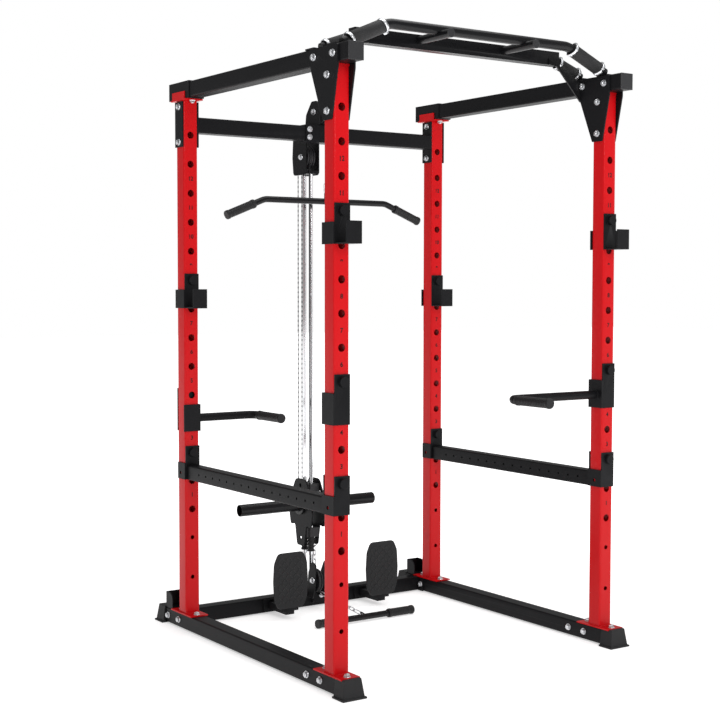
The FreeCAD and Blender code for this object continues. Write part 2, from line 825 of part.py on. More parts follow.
def pull_up_bar():
    (left_front, left_rear) = arm_ends(-1)
    (right_front, right_rear) = arm_ends(1)
    bar = bent_rod([left_front[1], left_front[0], right_front[0], right_front[1]],
                   "90", "grip_bar_radius")
    beam_top = "grip_bar_height"
    beam_foot = "grip_bar_height - rear_beam_height"
    beam = box(("0 - grip_bar_half - 60", "grip_bar_half + 60"),
               ("rear_beam_y - rear_beam_depth / 2", "rear_beam_y + rear_beam_depth / 2"),
               (beam_foot, beam_top))
    hollow = box(("0 - grip_bar_half - 50", "grip_bar_half + 50"),
                 ("rear_beam_y - rear_beam_depth / 2 + tube_wall",
                  "rear_beam_y + rear_beam_depth / 2 - tube_wall"),
                 ("%s + tube_wall" % beam_foot, "%s - tube_wall" % beam_top))
    parts = [bar, cut(beam, hollow)]
    for arm in (left_rear, right_rear):
        parts.append(slanted_rod(arm[0], arm[1], "grip_bar_radius - 2"))
    for word, side in SIDES:
        for y in ("grip_bar_y", "rear_beam_y"):
            parts.append(box(("%s - half_tube" % signed(side, "half_width"),
                              "%s + half_tube" % signed(side, "half_width")),
                             ("%s - 26" % y, "%s + 26" % y),
                             ("top_rail_top", "top_rail_top + plate_thick")))
        # a flat web from the beam's end down to the inner gusset plate, below the arm's sleeve
        outer = "inner_face - flange_thick"
        outline = [(signed(side, "grip_bar_half + 6"), "%s + 22" % beam_foot, 0),
                   (signed(side, "grip_bar_half + 58"), "%s + 22" % beam_foot, 0),
                   (signed(side, "grip_bar_half + 61"), "%s - 12" % beam_foot, 0),
                   (signed(side, outer), "arm_foot_height - 22", 0),
                   (signed(side, outer), "upright_top - 19", 0),
                   (signed(side, "grip_bar_half + 44"), "%s - 4" % beam_foot, 12),
                   (signed(side, "grip_bar_half + 6"), beam_foot, 0)]
        parts.append(plate("y", "rear_beam_y - rear_beam_depth / 2 - flange_thick",
                           "rear_beam_y - rear_beam_depth / 2", outline))
    rises = "grip_bar_height - grip_bar_radius - 2"
    for side in (-1, 1):
        parts.append(rod("y", "neutral_grip_radius", "grip_bar_y - neutral_grip_front",
                         "rear_beam_y", signed(side, "neutral_grip_spacing / 2"), rises))
    # the arms' lower ends are cut off level with the top rails they stand on, and the webs are
    # notched around the heads of the bolts that hold the inner gusset plates
    away = [box(span(side, "inner_face - 1", "outer_face"),
                ("grip_bar_y - 40", "rear_beam_y + 40"), ("top_rail_foot", "top_rail_top"))
            for side in (-1, 1)]
    for back, height in rail_gusset_bolts():
        away += [box(span(side, "inner_face - flange_thick - 13", "inner_face"),
                     ("0 - half_depth + %s - 16" % back, "0 - half_depth + %s + 16" % back),
                     ("%s - 16" % height, "%s + 16" % height))
                 for side in (-1, 1)]
    node("pull_up_bar", cut(fuse(parts), group(away)))


def part_way(start, end, share):
    return tuple("(%s) * %g + (%s) * %g" % (a, 1 - share, b, share) for a, b in zip(start, end))


def arm_sleeves():
    sleeves = []
    clamps = []
    for word, side in SIDES:
        for (start, end), radius, near in zip(arm_ends(side),
                                              ("grip_bar_radius", "grip_bar_radius - 2"),
                                              (0.10, 0.19)):
            outer = "%s + sleeve_thick" % radius
            far = 0.88
            sleeves.append(slanted_rod(part_way(start, end, near), part_way(start, end, far),
                                       outer, "%s + 0.2" % radius))
            for share in (near, far - 0.065):
                clamps.append(slanted_rod(part_way(start, end, share + 0.01),
                                          part_way(start, end, share + 0.055),
                                          "%s + clamp_thick + 0.1" % outer, "%s + 0.1" % outer))
    node("arm_rubber_sleeves", group(sleeves))
    node("sleeve_clamps", group(clamps))


# ---------------------------------------------------------------- fasteners

def frame_bolts():
    bolts = []
    for word, side in SIDES:
        x = signed(side, "half_width")
        for end in (-1, 1):
            for step in base_bolt_places():
                bolts.append(bolt("z", "rail_top - tube_wall", "upright_foot", x,
                                  "%s + %s" % (post_y(end), step)))
        for step in saddle_bolt_places():
            bolts.append(bolt("z", "upright_top", "top_rail_foot + tube_wall", x,
                              "half_depth + %s" % step))
        for y in cross_bolt_rows():
            bolts.append(side_bolt(side, "inner_face - flange_thick", "outer_face", y,
                                   "rail_lift + half_tube"))
        for y in front_bolt_rows():
            bolts.append(side_bolt(side, "inner_face", "outer_face", y,
                                   "rail_lift + half_tube"))
        for back, height in post_gusset_bolts() + rail_gusset_bolts():
            bolts.append(side_bolt(side, "inner_face - flange_thick", "outer_face + flange_thick",
                                   "0 - half_depth + %s" % back, height))
        for height in top_flange_bolts():
            bolts.append(side_bolt(side, "inner_face - flange_thick", "outer_face + flange_thick",
                                   "half_depth", height))
    # the tower's axles, the low bracket's bolts and the clamp's bolts
    outside = "cheek_gap / 2 + cheek_thick"
    for y, z in (("upper_axle_y", "upper_axle_z"), ("rod_middle", "lower_axle_z"),
                 ("low_axle_y", "low_axle_height")):
        bolts.append(bolt("x", "0 - (%s)" % outside, outside, y, z))
    for x in low_bolt_places():
        bolts.append(bolt("y", "base_cross - half_tube - plate_thick", "base_cross + half_tube",
                          x, "rail_top - 16"))
    for x, z in clamp_bolt_places():
        bolts.append(bolt("y", "half_depth - half_tube - plate_thick",
                          "half_depth + half_tube + plate_thick", x, z))
    node("frame_bolts", group(bolts))


# ---------------------------------------------------------------- cable tower

def pulley(name, x, y, z):
    """A grooved pulley that turns on an axle along X."""
    radius = size("pulley_radius")
    half = size("pulley_width") / 2
    groove = size("pulley_groove")
    bore = size("axle_radius + axle_clearance")
    cx, cy, cz = size(x), size(y), size(z)
    profile = [(-half, bore), (half, bore), (half, radius * 0.32), (half * 0.45, radius * 0.42),
               (half * 0.45, radius * 0.78), (half, radius * 0.86), (half, radius),
               (size("cable_radius") + 1, radius), (size("cable_radius"), radius - groove),
               (-size("cable_radius"), radius - groove), (-size("cable_radius") - 1, radius),
               (-half, radius), (-half, radius * 0.86), (-half * 0.45, radius * 0.78),
               (-half * 0.45, radius * 0.42), (-half, radius * 0.32)]
    points = [FreeCAD.Vector(cx + a, cy, cz + r) for a, r in profile]
    face = Part.Face(Part.makePolygon(points + [points[0]]))
    node(name, shape(face.revolve(FreeCAD.Vector(cx, cy, cz), FreeCAD.Vector(1, 0, 0), 360)))


ROW_X = "0 - row_plane"


def low_bolt_places():
    return ["0 - 50", "50"]


def clamp_bolt_places():
    return [(x, z) for x in ("0 - 58", "58")
            for z in ("top_cross_middle + 16", "top_cross_middle - 16")]


def clamp_bolt_holes(start, end):
    return [rod("y", "bolt_radius + bolt_gap", start, end, x, z) for x, z in clamp_bolt_places()]


def cheeks(outline, holes):
    """A pair of side plates facing each other across the pulleys."""
    pair = []
    for side in (-1, 1):
        start, stop = span(side, "cheek_gap / 2", "cheek_gap / 2 + cheek_thick")
        pair.append(plate("x", start, stop, outline, holes))
    return pair


def tower_head():
    # a clamp round the top cross member
    front = "half_depth - half_tube"
    rear = "half_depth + half_tube"
    wide = ("0 - clamp_half", "clamp_half")
    clamp = [box(wide, ("%s - plate_thick" % front, front),
                 ("top_cross_foot - plate_thick", "top_cross_top + plate_thick")),
             box(wide, (rear, "%s + plate_thick" % rear),
                 ("top_cross_foot - plate_thick", "top_cross_top + plate_thick")),
             box(wide, (front, rear), ("top_cross_top", "top_cross_top + plate_thick")),
             box(wide, (front, rear), ("top_cross_foot - plate_thick", "top_cross_foot"))]
    holes = clamp_bolt_holes("%s - plate_thick" % front, "%s + plate_thick" % rear)
    node("tower_clamp", cut(fuse(clamp), group(holes)))
    seat = "top_cross_top + plate_thick"
    outline = [("upper_axle_y - 40", seat, 6), ("half_depth + 40", seat, 6),
               ("half_depth + 34", "upper_axle_z - 8", 14),
               ("upper_axle_y + 18", "upper_axle_z + 44", 16),
               ("upper_axle_y - 24", "upper_axle_z + 44", 16),
               ("upper_axle_y - 46", "upper_axle_z - 4", 16)]
    holes = [("upper_axle_y", "upper_axle_z", "axle_radius")]
    foot = box(("0 - cheek_gap / 2", "cheek_gap / 2"), ("half_depth - 20", "half_depth + 36"),
               (seat, "%s + plate_thick" % seat))
    node("upper_pulley_housing", fuse(cheeks(outline, holes) + [foot]))
    back = "%s + plate_thick" % rear
    outline = [(back, "top_cross_top", 4), ("rod_rear + 34", "top_cross_top - 6", 18),
               ("rod_rear + 42", "lower_axle_z", 20),
               ("rod_rear + 34", "lower_housing_foot", 16),
               (back, "lower_housing_foot", 16)]
    holes = [("rod_middle", "lower_axle_z", "axle_radius")]
    block = cut(box(("0 - cheek_gap / 2", "cheek_gap / 2"), ("rod_front - 14", "rod_rear + 14"),
                    ("lower_housing_foot + 4", "lower_housing_foot + 18")),
                group([rod("z", "rod_radius", "lower_housing_foot + 4", "lower_housing_foot + 18",
                           "0", y) for y in ("rod_front", "rod_rear")]))
    block = cut(block, box(("0 - row_plane - 6", "6 - row_plane"),
                           ("rod_front - 14", "rod_front - 8"),
                           ("lower_housing_foot + 4", "lower_housing_foot + 18")))
    web = box(("0 - cheek_gap / 2", "cheek_gap / 2"), (back, "%s + plate_thick" % back),
              ("top_cross_foot", "top_cross_top"))
    node("lower_pulley_housing", fuse(cheeks(outline, holes) + [block, web]))


def tower_pulleys():
    pulley("lat_pulley_front", "0", "upper_axle_y", "upper_axle_z")
    pulley("lat_pulley_rear", "0", "rod_middle", "lower_axle_z")
    pulley("row_pulley_upper", ROW_X, "rod_middle", "lower_axle_z")
    pulley("row_pulley_lower", ROW_X, "low_axle_y", "low_axle_height")


def guide_rods():
    rods = [rod("z", "rod_radius", "rail_top + 8", "lower_housing_foot + 18", "0", y)
            for y in ("rod_front", "rod_rear")]
    top = "carriage_foot_height - 0.5"
    bumpers = [ring("z", "bumper_radius", "rod_radius + 0.2", "%s - bumper_height" % top, top,
                    "0", y) for y in ("rod_front", "rod_rear")]
    node("carriage_bumpers", group(bumpers))
    collars = [rod("z", "bumper_radius + 1", "%s - bumper_height - 14" % top,
                   "%s - bumper_height" % top, "0", y) for y in ("rod_front", "rod_rear")]
    node("guide_rods", group([fuse([pole, collar]) for pole, collar in zip(rods, collars)]))


def low_bracket():
    front = "base_cross - half_tube"
    saddle = [box(("0 - 62", "62"), ("%s - plate_thick" % front, front),
                  ("rail_top - 44", "rail_top + plate_thick")),
              box(("0 - 62", "62"), (front, "rod_rear + 26"), ("rail_top", "rail_top + plate_thick"))]
    for y in ("rod_front", "rod_rear"):
        saddle.append(ring("z", "rod_radius + 5", "rod_radius", "rail_top + plate_thick",
                           "rail_top + 40", "0", y))
    outline = [("%s - plate_thick" % front, "rail_top - 10", 0),
               ("rod_front - 22", "rail_top + plate_thick", 0),
               ("low_axle_y + 34", "low_axle_height + 30", 16),
               ("low_axle_y + 8", "low_axle_height + 78", 12),
               ("low_axle_y - 22", "low_axle_height + 70", 14),
               ("low_axle_y - 24", "low_axle_height - 18", 16),
               ("low_axle_y + 2", "rail_top - 14", 12)]
    arms = cheeks(outline, [("low_axle_y", "low_axle_height", "axle_radius")])
    eye = ring("x", "9", "5", "0 - 3", "3", "%s - plate_thick - 8" % front, "rail_top - 34")
    holes = [rod("y", "bolt_radius + bolt_gap", "%s - plate_thick" % front, front,
                 x, "rail_top - 16") for x in low_bolt_places()]
    node("low_pulley_bracket", cut(fuse(saddle + arms + [eye]), group(holes)))


def foot_plate_arms():
    """The two arms welded to the base cross member, each with a pad at its front."""
    pieces = []
    front = "base_cross - half_tube"
    for word, side in SIDES:
        x = "tread_aside + (%s)" % signed(side, "tread_spacing / 2")
        pieces.append(box(("%s - 20" % x, "%s + 20" % x), ("tread_y", front),
                          ("rail_lift + 16", "rail_lift + 46")))
        pieces.append(box(("%s - 40" % x, "%s + 40" % x), ("tread_y", "tread_y + 5"),
                          ("rail_lift + 30", "rail_lift + 190")))
        pieces.append(box(("%s - 45" % x, "%s + 45" % x), ("%s - 6" % front, front),
                          ("rail_lift + 4", "rail_top - 4")))
    return pieces


def foot_plates():
    """Two rounded tread plates to brace the feet on."""
    plates = []
    for word, side in SIDES:
        x = "tread_aside + (%s)" % signed(side, "tread_spacing / 2")
        corners = [(-0.72, 0, 22), (0.72, 0, 22), (0.95, 0.18, 60), (1, 0.5, 100),
                   (0.95, 0.82, 60), (0.72, 1, 22), (-0.72, 1, 22), (-0.95, 0.82, 60),
                   (-1, 0.5, 100), (-0.95, 0.18, 60)]
        outline = [("%s + tread_width / 2 * (%g)" % (x, dx),
                    "tread_lift + tread_height * %g" % dz, r) for dx, dz, r in corners]
        plates.append(plate("y", "tread_y - tread_thick", "tread_y", outline))
    node("foot_plates", group(plates))


# ---------------------------------------------------------------- weight carriage

def carriage():
    """The two side plates, guide blocks and plate sleeves that climb the rods."""
    half = "carriage_plate_gap / 2"
    lift = "sleeve_axis_height"
    rear_half = [(38, "+ 110", 30), (68, "+ 55", 40), (66, "+ 0", 12), (92, "- 30", 12),
                 (78, "- 92", 12), (44, "- 84", 8), (28, "- 172", 14)]
    outline = [("rod_middle + %d" % y, "%s %s" % (lift, z), r) for y, z, r in rear_half]
    outline += [("rod_middle - %d" % y, "%s %s" % (lift, z), r) for y, z, r in rear_half[::-1]]
    holes = [("rod_middle", "%s - 138" % lift, "9"), ("rod_middle", "%s + 82" % lift, "9"),
             ("rod_middle - 44", "%s + 58" % lift, "6"), ("rod_middle + 44", "%s + 58" % lift, "6")]
    plates = []
    for side in (-1, 1):
        start, stop = span(side, half, "%s + carriage_plate_thick" % half)
        plates.append(plate("x", start, stop, outline, holes))
    # a lug between the plates' rear edges that the two lift cables end in
    plates.append(box(("0 - %s" % half, half), ("rod_rear + 18", "lift_line_y + 10"),
                      ("%s - 24" % lift, lift)))
    for x in ("0", ROW_X):
        plates.append(rod("z", "6", lift, "%s + 30" % lift, x, "lift_line_y"))
    node("carriage_plates", fuse(plates))
    blocks = []
    for foot in ("carriage_foot_height", "%s + 50" % lift):
        block = box(("0 - %s" % half, half), ("rod_front - 16", "rod_rear + 16"),
                    (foot, "%s + guide_block_height" % foot))
        bores = [rod("z", "rod_radius + rod_clearance", foot, "%s + guide_block_height" % foot,
                     "0", y) for y in ("rod_front", "rod_rear")]
        blocks.append(cut(block, group(bores)))
    node("guide_blocks", group(blocks))
    sleeves = []
    root = "%s + carriage_plate_thick" % half
    for word, side in SIDES:
        near, far = span(side, root, "weight_sleeve_reach")
        sleeve = ring("x", "weight_sleeve_radius", "weight_sleeve_radius - weight_sleeve_wall",
                      near, far, "rod_middle", lift)
        near, far = span(side, root, "%s + 10" % root)
        flange = rod("x", "weight_sleeve_radius + 16", near, far, "rod_middle", lift)
        sleeves.append(fuse([sleeve, flange]))
    node("weight_sleeves", group(sleeves))
    # a short chain that hangs from the right plate's lower hole, to park the carriage with
    hang = [(middle, "rod_middle", height) for middle, height in
            (("%s + carriage_plate_thick / 2" % half, "%s - 143" % lift),
             ("%s + carriage_plate_thick / 2" % half, "%s - 143 - 165" % lift))]
    node("carriage_chain", chain(hang[0], hang[1], size("link_length"), size("link_width"),
                                 size("link_wire")))


# ---------------------------------------------------------------- cables and their bars

def cables():
    """The cables: what stays on the pulleys, and the strands that change length."""
    lug_top = "sleeve_axis_height + 30"
    node("lift_cables", group([rod("z", "cable_radius", lug_top, "lower_axle_z", x, "lift_line_y")
                               for x in ("0", ROW_X)]))
    node("lat_drop_cable", rod("z", "cable_radius", "lat_chain_top", "upper_axle_z", "0",
                               "lat_line_y"))
    # the slanting run touches both pulleys on their rear side
    run_y = size("rod_middle - upper_axle_y")
    run_z = size("lower_axle_z - upper_axle_z")
    run = math.hypot(run_y, run_z)
    wrap = size("groove_radius")
    touch_y = size("upper_axle_y") - run_z / run * wrap
    touch_z = size("upper_axle_z") + run_y / run * wrap
    rise = (touch_y - size("lat_line_y")) * -run_z / run_y
    fall = (size("lift_line_y") - touch_y) * -run_z / run_y
    over_pulleys = bent_rod([("0", "lat_line_y", "upper_axle_z"),
                             ("0", "lat_line_y", "%.6f" % (touch_z + rise)),
                             ("0", "lift_line_y", "%.6f" % (touch_z - fall)),
                             ("0", "lift_line_y", "lower_axle_z")],
                            "groove_radius", "cable_radius")
    crown = "lower_axle_z + groove_radius"
    keel = "low_axle_height - groove_radius"
    row_run = bent_rod([(ROW_X, "lift_line_y", "lower_axle_z"), (ROW_X, "lift_line_y", crown),
                        (ROW_X, "row_line_y", crown), (ROW_X, "row_line_y", keel),
                        (ROW_X, "row_cable_end", keel)],
                       "groove_radius", "cable_radius")
    node("cable_runs", group([over_pulleys, row_run]))


def link(middle, along, across, inner_length, inner_width, wire):
    """An oval chain link: a round wire bent into two straights and two half circles."""
    half = inner_width / 2 + wire
    reach = inner_length / 2 + wire - half
    top = middle + along * reach
    foot = middle - along * reach
    edges = [Part.LineSegment(foot + across * half, top + across * half).toShape(),
             Part.Arc(top + across * half, top + along * half, top - across * half).toShape(),
             Part.LineSegment(top - across * half, foot - across * half).toShape(),
             Part.Arc(foot - across * half, foot - along * half, foot + across * half).toShape()]
    start = Part.Wire(Part.makeCircle(wire, foot + across * half, along))
    return Part.Wire(edges).makePipeShell([start], True, False)


def chain(first, last, inner_length, inner_width, wire):
    """Links that hang in each other from a snap hook at the first point to the last point."""
    start = FreeCAD.Vector(*[size(v) for v in first])
    end = FreeCAD.Vector(*[size(v) for v in last])
    along = (end - start).normalize()
    across = FreeCAD.Vector(1, 0, 0)
    across = (across - along * across.dot(along)).normalize()
    other = along.cross(across)
    hook = size("hook_inner_length")
    hook_wire = size("hook_wire")
    links = [link(start + along * (hook / 2), along, across, hook, size("hook_inner_width"),
                  hook_wire)]
    pitch = inner_length - 0.3
    begin = hook - 0.3
    count = int(((end - start).Length - begin) / pitch)
    for i in range(count):
        middle = start + along * (begin + inner_length / 2 + i * pitch)
        links.append(link(middle, along, other if i % 2 == 0 else across,
                          inner_length, inner_width, wire))
    return shape(Part.makeCompound(links))


def lat_bar():
    y = "lat_line_y"
    middle = "lat_bar_height"
    ends = "lat_bar_height - lat_bar_drop"
    bar = bent_rod([("0 - lat_bar_end", y, ends), ("0 - lat_bar_half", y, middle),
                    ("lat_bar_half", y, middle), ("lat_bar_end", y, ends)], "70", "bar_radius")
    eye = plate("x", "0 - 3", "3", [(y + " - 14", "%s + 4" % middle, 0),
                                    (y + " + 14", "%s + 4" % middle, 0),
                                    (y + " + 14", "%s + 42" % middle, 12),
                                    (y + " - 14", "%s + 42" % middle, 12)],
                [(y, "%s + 28" % middle, "8")])
    node("lat_bar", fuse([bar, eye]))
    grips = []
    for side in (-1, 1):
        start = (signed(side, "lat_bar_half"), y, middle)
        end = (signed(side, "lat_bar_end"), y, ends)
        grips.append(slanted_rod(part_way(start, end, 0.28), part_way(start, end, 1.02),
                                 "rubber_radius", "bar_radius + 0.2"))
    node("lat_bar_grips", group(grips))
    node("lat_chain", chain(("0", y, "lat_bar_height + 35.2"), ("0", y, "lat_chain_top"),
                            size("link_length"), size("link_width"), size("link_wire")))


def row_bar():
    z = "rubber_radius + 0.5"
    y = "row_bar_y"
    bar = rod("x", "bar_radius", "row_bar_aside - row_bar_half", "row_bar_aside + row_bar_half",
              y, z)
    eye = plate("x", "row_bar_aside - 3", "row_bar_aside + 3", [(y, "%s + 9" % z, 0), (y, "%s - 9" % z, 0),
                                    (y + " + 40", "%s - 9" % z, 9),
                                    (y + " + 40", "%s + 15" % z, 9)],
                [(y + " + 26", "%s + 3" % z, "8")])
    node("row_bar", fuse([bar, eye]))
    grips = []
    for side in (-1, 1):
        near, far = ["row_bar_aside + (%s)" % x for x in
                     span(side, "row_bar_half - row_grip_length + 4", "row_bar_half + 4")]
        start, stop = ["row_bar_aside + (%s)" % x for x in
                       span(side, "row_bar_half", "row_bar_half + 4")]
        grips.append(fuse([ring("x", "rubber_radius", "bar_radius + 0.2", near, far, y, z),
                           rod("x", "rubber_radius", start, stop, y, z)]))
    node("row_bar_grips", group(grips))
    node("row_chain", chain(("row_bar_aside", y + " + 32.6", "%s + 5" % z),
                            (ROW_X, "row_cable_end - 4", "low_axle_height - groove_radius"),
                            size("row_link_length"), size("row_link_width"), size("row_link_wire")))


# ---------------------------------------------------------------- brackets on the uprights

def rack_hook(name, side, end, number):
    """A cradle for a bar that hangs on a peg and wraps round the upright's outer side."""
    z = level(number)
    x = signed(side, "half_width")
    face = "%s - half_tube - bracket_gap" % post_y(end)
    back = "%s + half_tube + bracket_gap" % post_y(end)
    sides = ("%s - half_tube" % x, "%s + half_tube" % x)
    lip = "%s - hook_reach" % face
    below = "%s - hook_below" % z
    parts = [box(sides, ("%s - bracket_thick" % face, face), (below, "%s + bracket_above" % z)),
             box(sides, (lip, face), (below, "%s + bracket_thick" % below)),
             box(sides, (lip, "%s + bracket_thick" % lip), (below, "%s - hook_lip_drop" % z))]
    near = "half_tube + bracket_gap"
    low, high = span(side, near, "%s + bracket_thick" % near)
    wing = ("%s + %s" % (x, low), "%s + %s" % (x, high))
    wing_top = "%s - wing_drop" % z
    parts.append(box(wing, ("%s - bracket_thick" % face, "%s + bracket_thick" % back),
                     (below, wing_top)))
    low, high = span(side, "half_tube + bracket_gap + bracket_thick - rear_return",
                     "half_tube + bracket_gap + bracket_thick")
    parts.append(box(("%s + %s" % (x, low), "%s + %s" % (x, high)),
                     (back, "%s + bracket_thick" % back), (below, wing_top)))
    parts.append(rod("y", "hole_radius - pin_clearance", face, "%s + peg_length" % face, x, z))
    parts.append(rod("y", "knob_radius", "%s - bracket_thick - knob_height" % face,
                     "%s - bracket_thick" % face, x, z))
    node(name, fuse(parts))


def rack_hooks():
    for end_word, end in ENDS:
        number = "hook_level_front" if end < 0 else "hook_level_rear"
        for word, side in SIDES:
            rack_hook("rack_hook_%s_%s" % (end_word, word), side, end, number)


def safety_bar(name, side):
    """A long bar between the uprights with a U bracket at its front and a plate at its rear."""
    z = level("safety_level")
    x = signed(side, "half_width")
    tube_top = "%s - safety_tube_drop" % z
    tube_foot = "%s - safety_tube_height" % tube_top
    front_back = "0 - half_depth + half_tube + bracket_gap"
    rear_face_y = "half_depth - half_tube - bracket_gap"
    start = "%s + bracket_thick" % front_back
    stop = "%s - bracket_thick" % rear_face_y
    bar = tube("y", "safety_tube_width", "safety_tube_height", start, stop, x,
               "(%s + %s) / 2" % (tube_top, tube_foot))
    low_edge = "%s + bracket_above - 130" % z
    high_edge = "%s + bracket_above" % z
    wide = ("%s - half_tube" % x, "%s + half_tube" % x)
    front = "0 - half_depth - half_tube - bracket_gap"
    wing_x = ("%s - half_tube - bracket_gap - bracket_thick" % x, "%s - half_tube - bracket_gap" % x)
    wing_top = "%s - wing_drop - 4" % z
    plates = [box(wide, ("%s - bracket_thick" % front, front), (low_edge, high_edge)),
              box(wide, (front_back, start), (low_edge, high_edge)),
              box(wing_x, ("%s - bracket_thick" % front, start), (low_edge, wing_top)),
              box(("%s - half_tube - bracket_gap" % x, "%s - half_tube" % x),
                  ("%s - bracket_thick" % front, front), (low_edge, wing_top)),
              box(("%s - half_tube - bracket_gap" % x, "%s - half_tube" % x),
                  (front_back, start), (low_edge, wing_top)),
              box(wide, (stop, rear_face_y), (low_edge, high_edge)),
              box(wing_x, (stop, "half_depth + half_tube - 8"), (low_edge, wing_top)),
              box(("%s - half_tube - bracket_gap" % x, "%s - half_tube" % x),
                  (stop, rear_face_y), (low_edge, wing_top))]
    holes = []
    for y0, y1 in (("%s - bracket_thick" % front, front), (front_back, start),
                   (stop, rear_face_y)):
        holes.append(rod("y", "safety_pin_radius + pin_clearance", y0, y1, x, z))
    holes.append(rod("x", "6.5", wing_x[0], wing_x[1], "0 - half_depth", "%s + 24" % low_edge))
    holes.append(rod("x", "6.5", wing_x[0], wing_x[1], "half_depth", "%s + 24" % low_edge))
    count = int(size("(%s - (%s)) / safety_hole_pitch" % (stop, start)))
    for i in range(1, count):
        holes.append(rod("x", "safety_hole_radius", "%s - safety_tube_width / 2" % x,
                         "%s + safety_tube_width / 2" % x,
                         "%s + safety_hole_pitch * %g" % (start, i + 0.2),
                         "(%s + %s) / 2" % (tube_top, tube_foot)))
    node(name, cut(fuse([bar] + plates), group(holes)))


def safety_pin(name, side, end):
    z = level("safety_level")
    x = signed(side, "half_width")
    if end < 0:
        face = "0 - half_depth - half_tube - bracket_gap - bracket_thick"
        tip = "0 - half_depth + half_tube + bracket_gap + bracket_thick + 6"
    else:
        face = "half_depth - half_tube - bracket_gap - bracket_thick"
        tip = "half_depth + half_tube + 6"
    node(name, fuse([rod("y", "safety_pin_radius", face, tip, x, z),
                     rod("y", "knob_radius", "%s - knob_height - 0.1" % face, "%s - 0.1" % face,
                         x, z)]))


def safety_bars():
    for word, side in SIDES:
        safety_bar("safety_bar_" + word, side)
        for end_word, end in ENDS:
            safety_pin("safety_pin_%s_%s" % (end_word, word), side, end)


def dip_bracket(name, side, end, number, inner, arm):
    """A U bracket with a dip handle; inner is the way its handle points along X."""
    z = level(number)
    x = signed(side, "half_width")
    out = -1 if end < 0 else 1
    y = post_y(end)

    def depth(distance):
        return "%s + (%s) * (%d)" % (y, distance, out)

    def across(distance):
        return "%s + (%s) * (%d)" % (x, distance, inner)

    def limits(first, second, sign):
        return (first, second) if sign > 0 else (second, first)

    near = "half_tube + bracket_gap"
    far = "half_tube + bracket_gap + bracket_thick"
    below = "%s - dip_below" % z
    face = limits(depth(near), depth(far), out)
    back = limits(depth("0 - (%s)" % far), depth("0 - (%s)" % near), out)
    through = limits(depth("0 - (%s)" % far), depth(far), out)
    parts = [box(("%s - half_tube" % x, "%s + half_tube" % x), face,
                 (below, "%s + bracket_above" % z)),
             box(limits(across(near), across(far), inner), through, (below, "%s - wing_drop" % z)),
             box(limits(across("half_tube"), across(near), inner), face,
                 (below, "%s - wing_drop" % z)),
             box(limits(across("%s - rear_return" % far), across(far), inner), back,
                 (below, "%s - wing_drop" % z)),
             rod("y", "hole_radius - pin_clearance",
                 *limits(depth("%s - peg_length" % near), depth(near), out), x, z),
             rod("y", "knob_radius", *limits(depth(far), depth("%s + knob_height" % far), out),
                 x, z)]
    height = "%s - dip_bar_drop" % z
    handle = bent_rod([(across(far), y, height), (across("%s + %s" % (far, arm)), y, height),
                       (across("%s + %s" % (far, arm)), "%s - dip_grip" % y, height)],
                      "dip_bend", "dip_bar_radius - 3")
    node(name, fuse(parts + [handle]))
    centre = across("%s + %s" % (far, arm))
    start = "%s - dip_bend - 4" % y
    end_y = "%s - dip_grip" % y
    grip = ring("y", "dip_bar_radius", "dip_bar_radius - 2.8", end_y, start, centre, height)
    cap = rod("y", "dip_bar_radius", "%s - 4" % end_y, end_y, centre, height)
    return node(name.replace("bracket", "grip"), fuse([grip, cap]))


def dip_brackets():
    dip_bracket("dip_bracket_right", 1, -1, "dip_level_right", -1, "dip_arm_right")
    dip_bracket("dip_bracket_left", -1, 1, "dip_level_left", 1, "dip_arm_left")
    # the empty bracket on the front left upright, ready for the left handle
    z = level("dip_level_right")
    x = "0 - half_width"
    front = "0 - half_depth - half_tube - bracket_gap"
    back = "0 - half_depth + half_tube + bracket_gap"
    below = "%s - dip_below" % z
    wing_x = ("%s - half_tube - bracket_gap - bracket_thick" % x, "%s - half_tube - bracket_gap" % x)
    wing_top = "%s - wing_drop" % z
    parts = [box(("%s - half_tube" % x, "%s + half_tube" % x), ("%s - bracket_thick" % front, front),
                 (below, "%s + bracket_above" % z)),
             box(wing_x, ("%s - bracket_thick" % front, "%s + bracket_thick" % back),
                 (below, wing_top)),
             box(("%s - half_tube - bracket_gap" % x, "%s - half_tube" % x),
                 ("%s - bracket_thick" % front, front), (below, wing_top)),
             box((wing_x[0], "%s + rear_return" % wing_x[0]), (back, "%s + bracket_thick" % back),
                 (below, wing_top)),
             rod("y", "hole_radius - pin_clearance", front, "%s + peg_length" % front, x, z),
             rod("y", "knob_radius", "%s - bracket_thick - knob_height" % front,
                 "%s - bracket_thick" % front, x, z)]
    node("spare_dip_bracket", fuse(parts))


# ---------------------------------------------------------------- the whole cage

def build():
    base()
    channel_brackets()
    for end_word, end in ENDS:
        for word, side in SIDES:
            upright("upright_%s_%s" % (end_word, word), side, end)
    post_plates()
    for word, side in SIDES:
        top_rail("top_rail_" + word, side)
        gussets("gusset_plates_" + word, side)
    end_plugs()
    top_cross()
    pull_up_bar()
    arm_sleeves()
    frame_bolts()
    tower_head()
    tower_pulleys()
    guide_rods()
    low_bracket()
    foot_plates()
    carriage()
    cables()
    lat_bar()
    row_bar()
    rack_hooks()
    safety_bars()
    dip_brackets()


def check_and_write():
    doc.recompute()
    for piece in doc.Objects:
        bad = {"Invalid", "Error"} & set(piece.State)
        if bad:
            raise RuntimeError("%s (%s) failed: %s" % (piece.Label, piece.Name, piece.State))
    os.makedirs("parts", exist_ok=True)
    for piece in TOP_LEVEL:
        solid = piece.Shape
        if solid.isNull() or not solid.isValid() or not solid.Solids:
            raise RuntimeError(piece.Label + " is not a valid solid")
    for piece in TOP_LEVEL:
        piece.Shape.exportStep("parts/%s.step" % piece.Label)
    print("%d nodes written" % len(TOP_LEVEL))


build()
check_and_write()
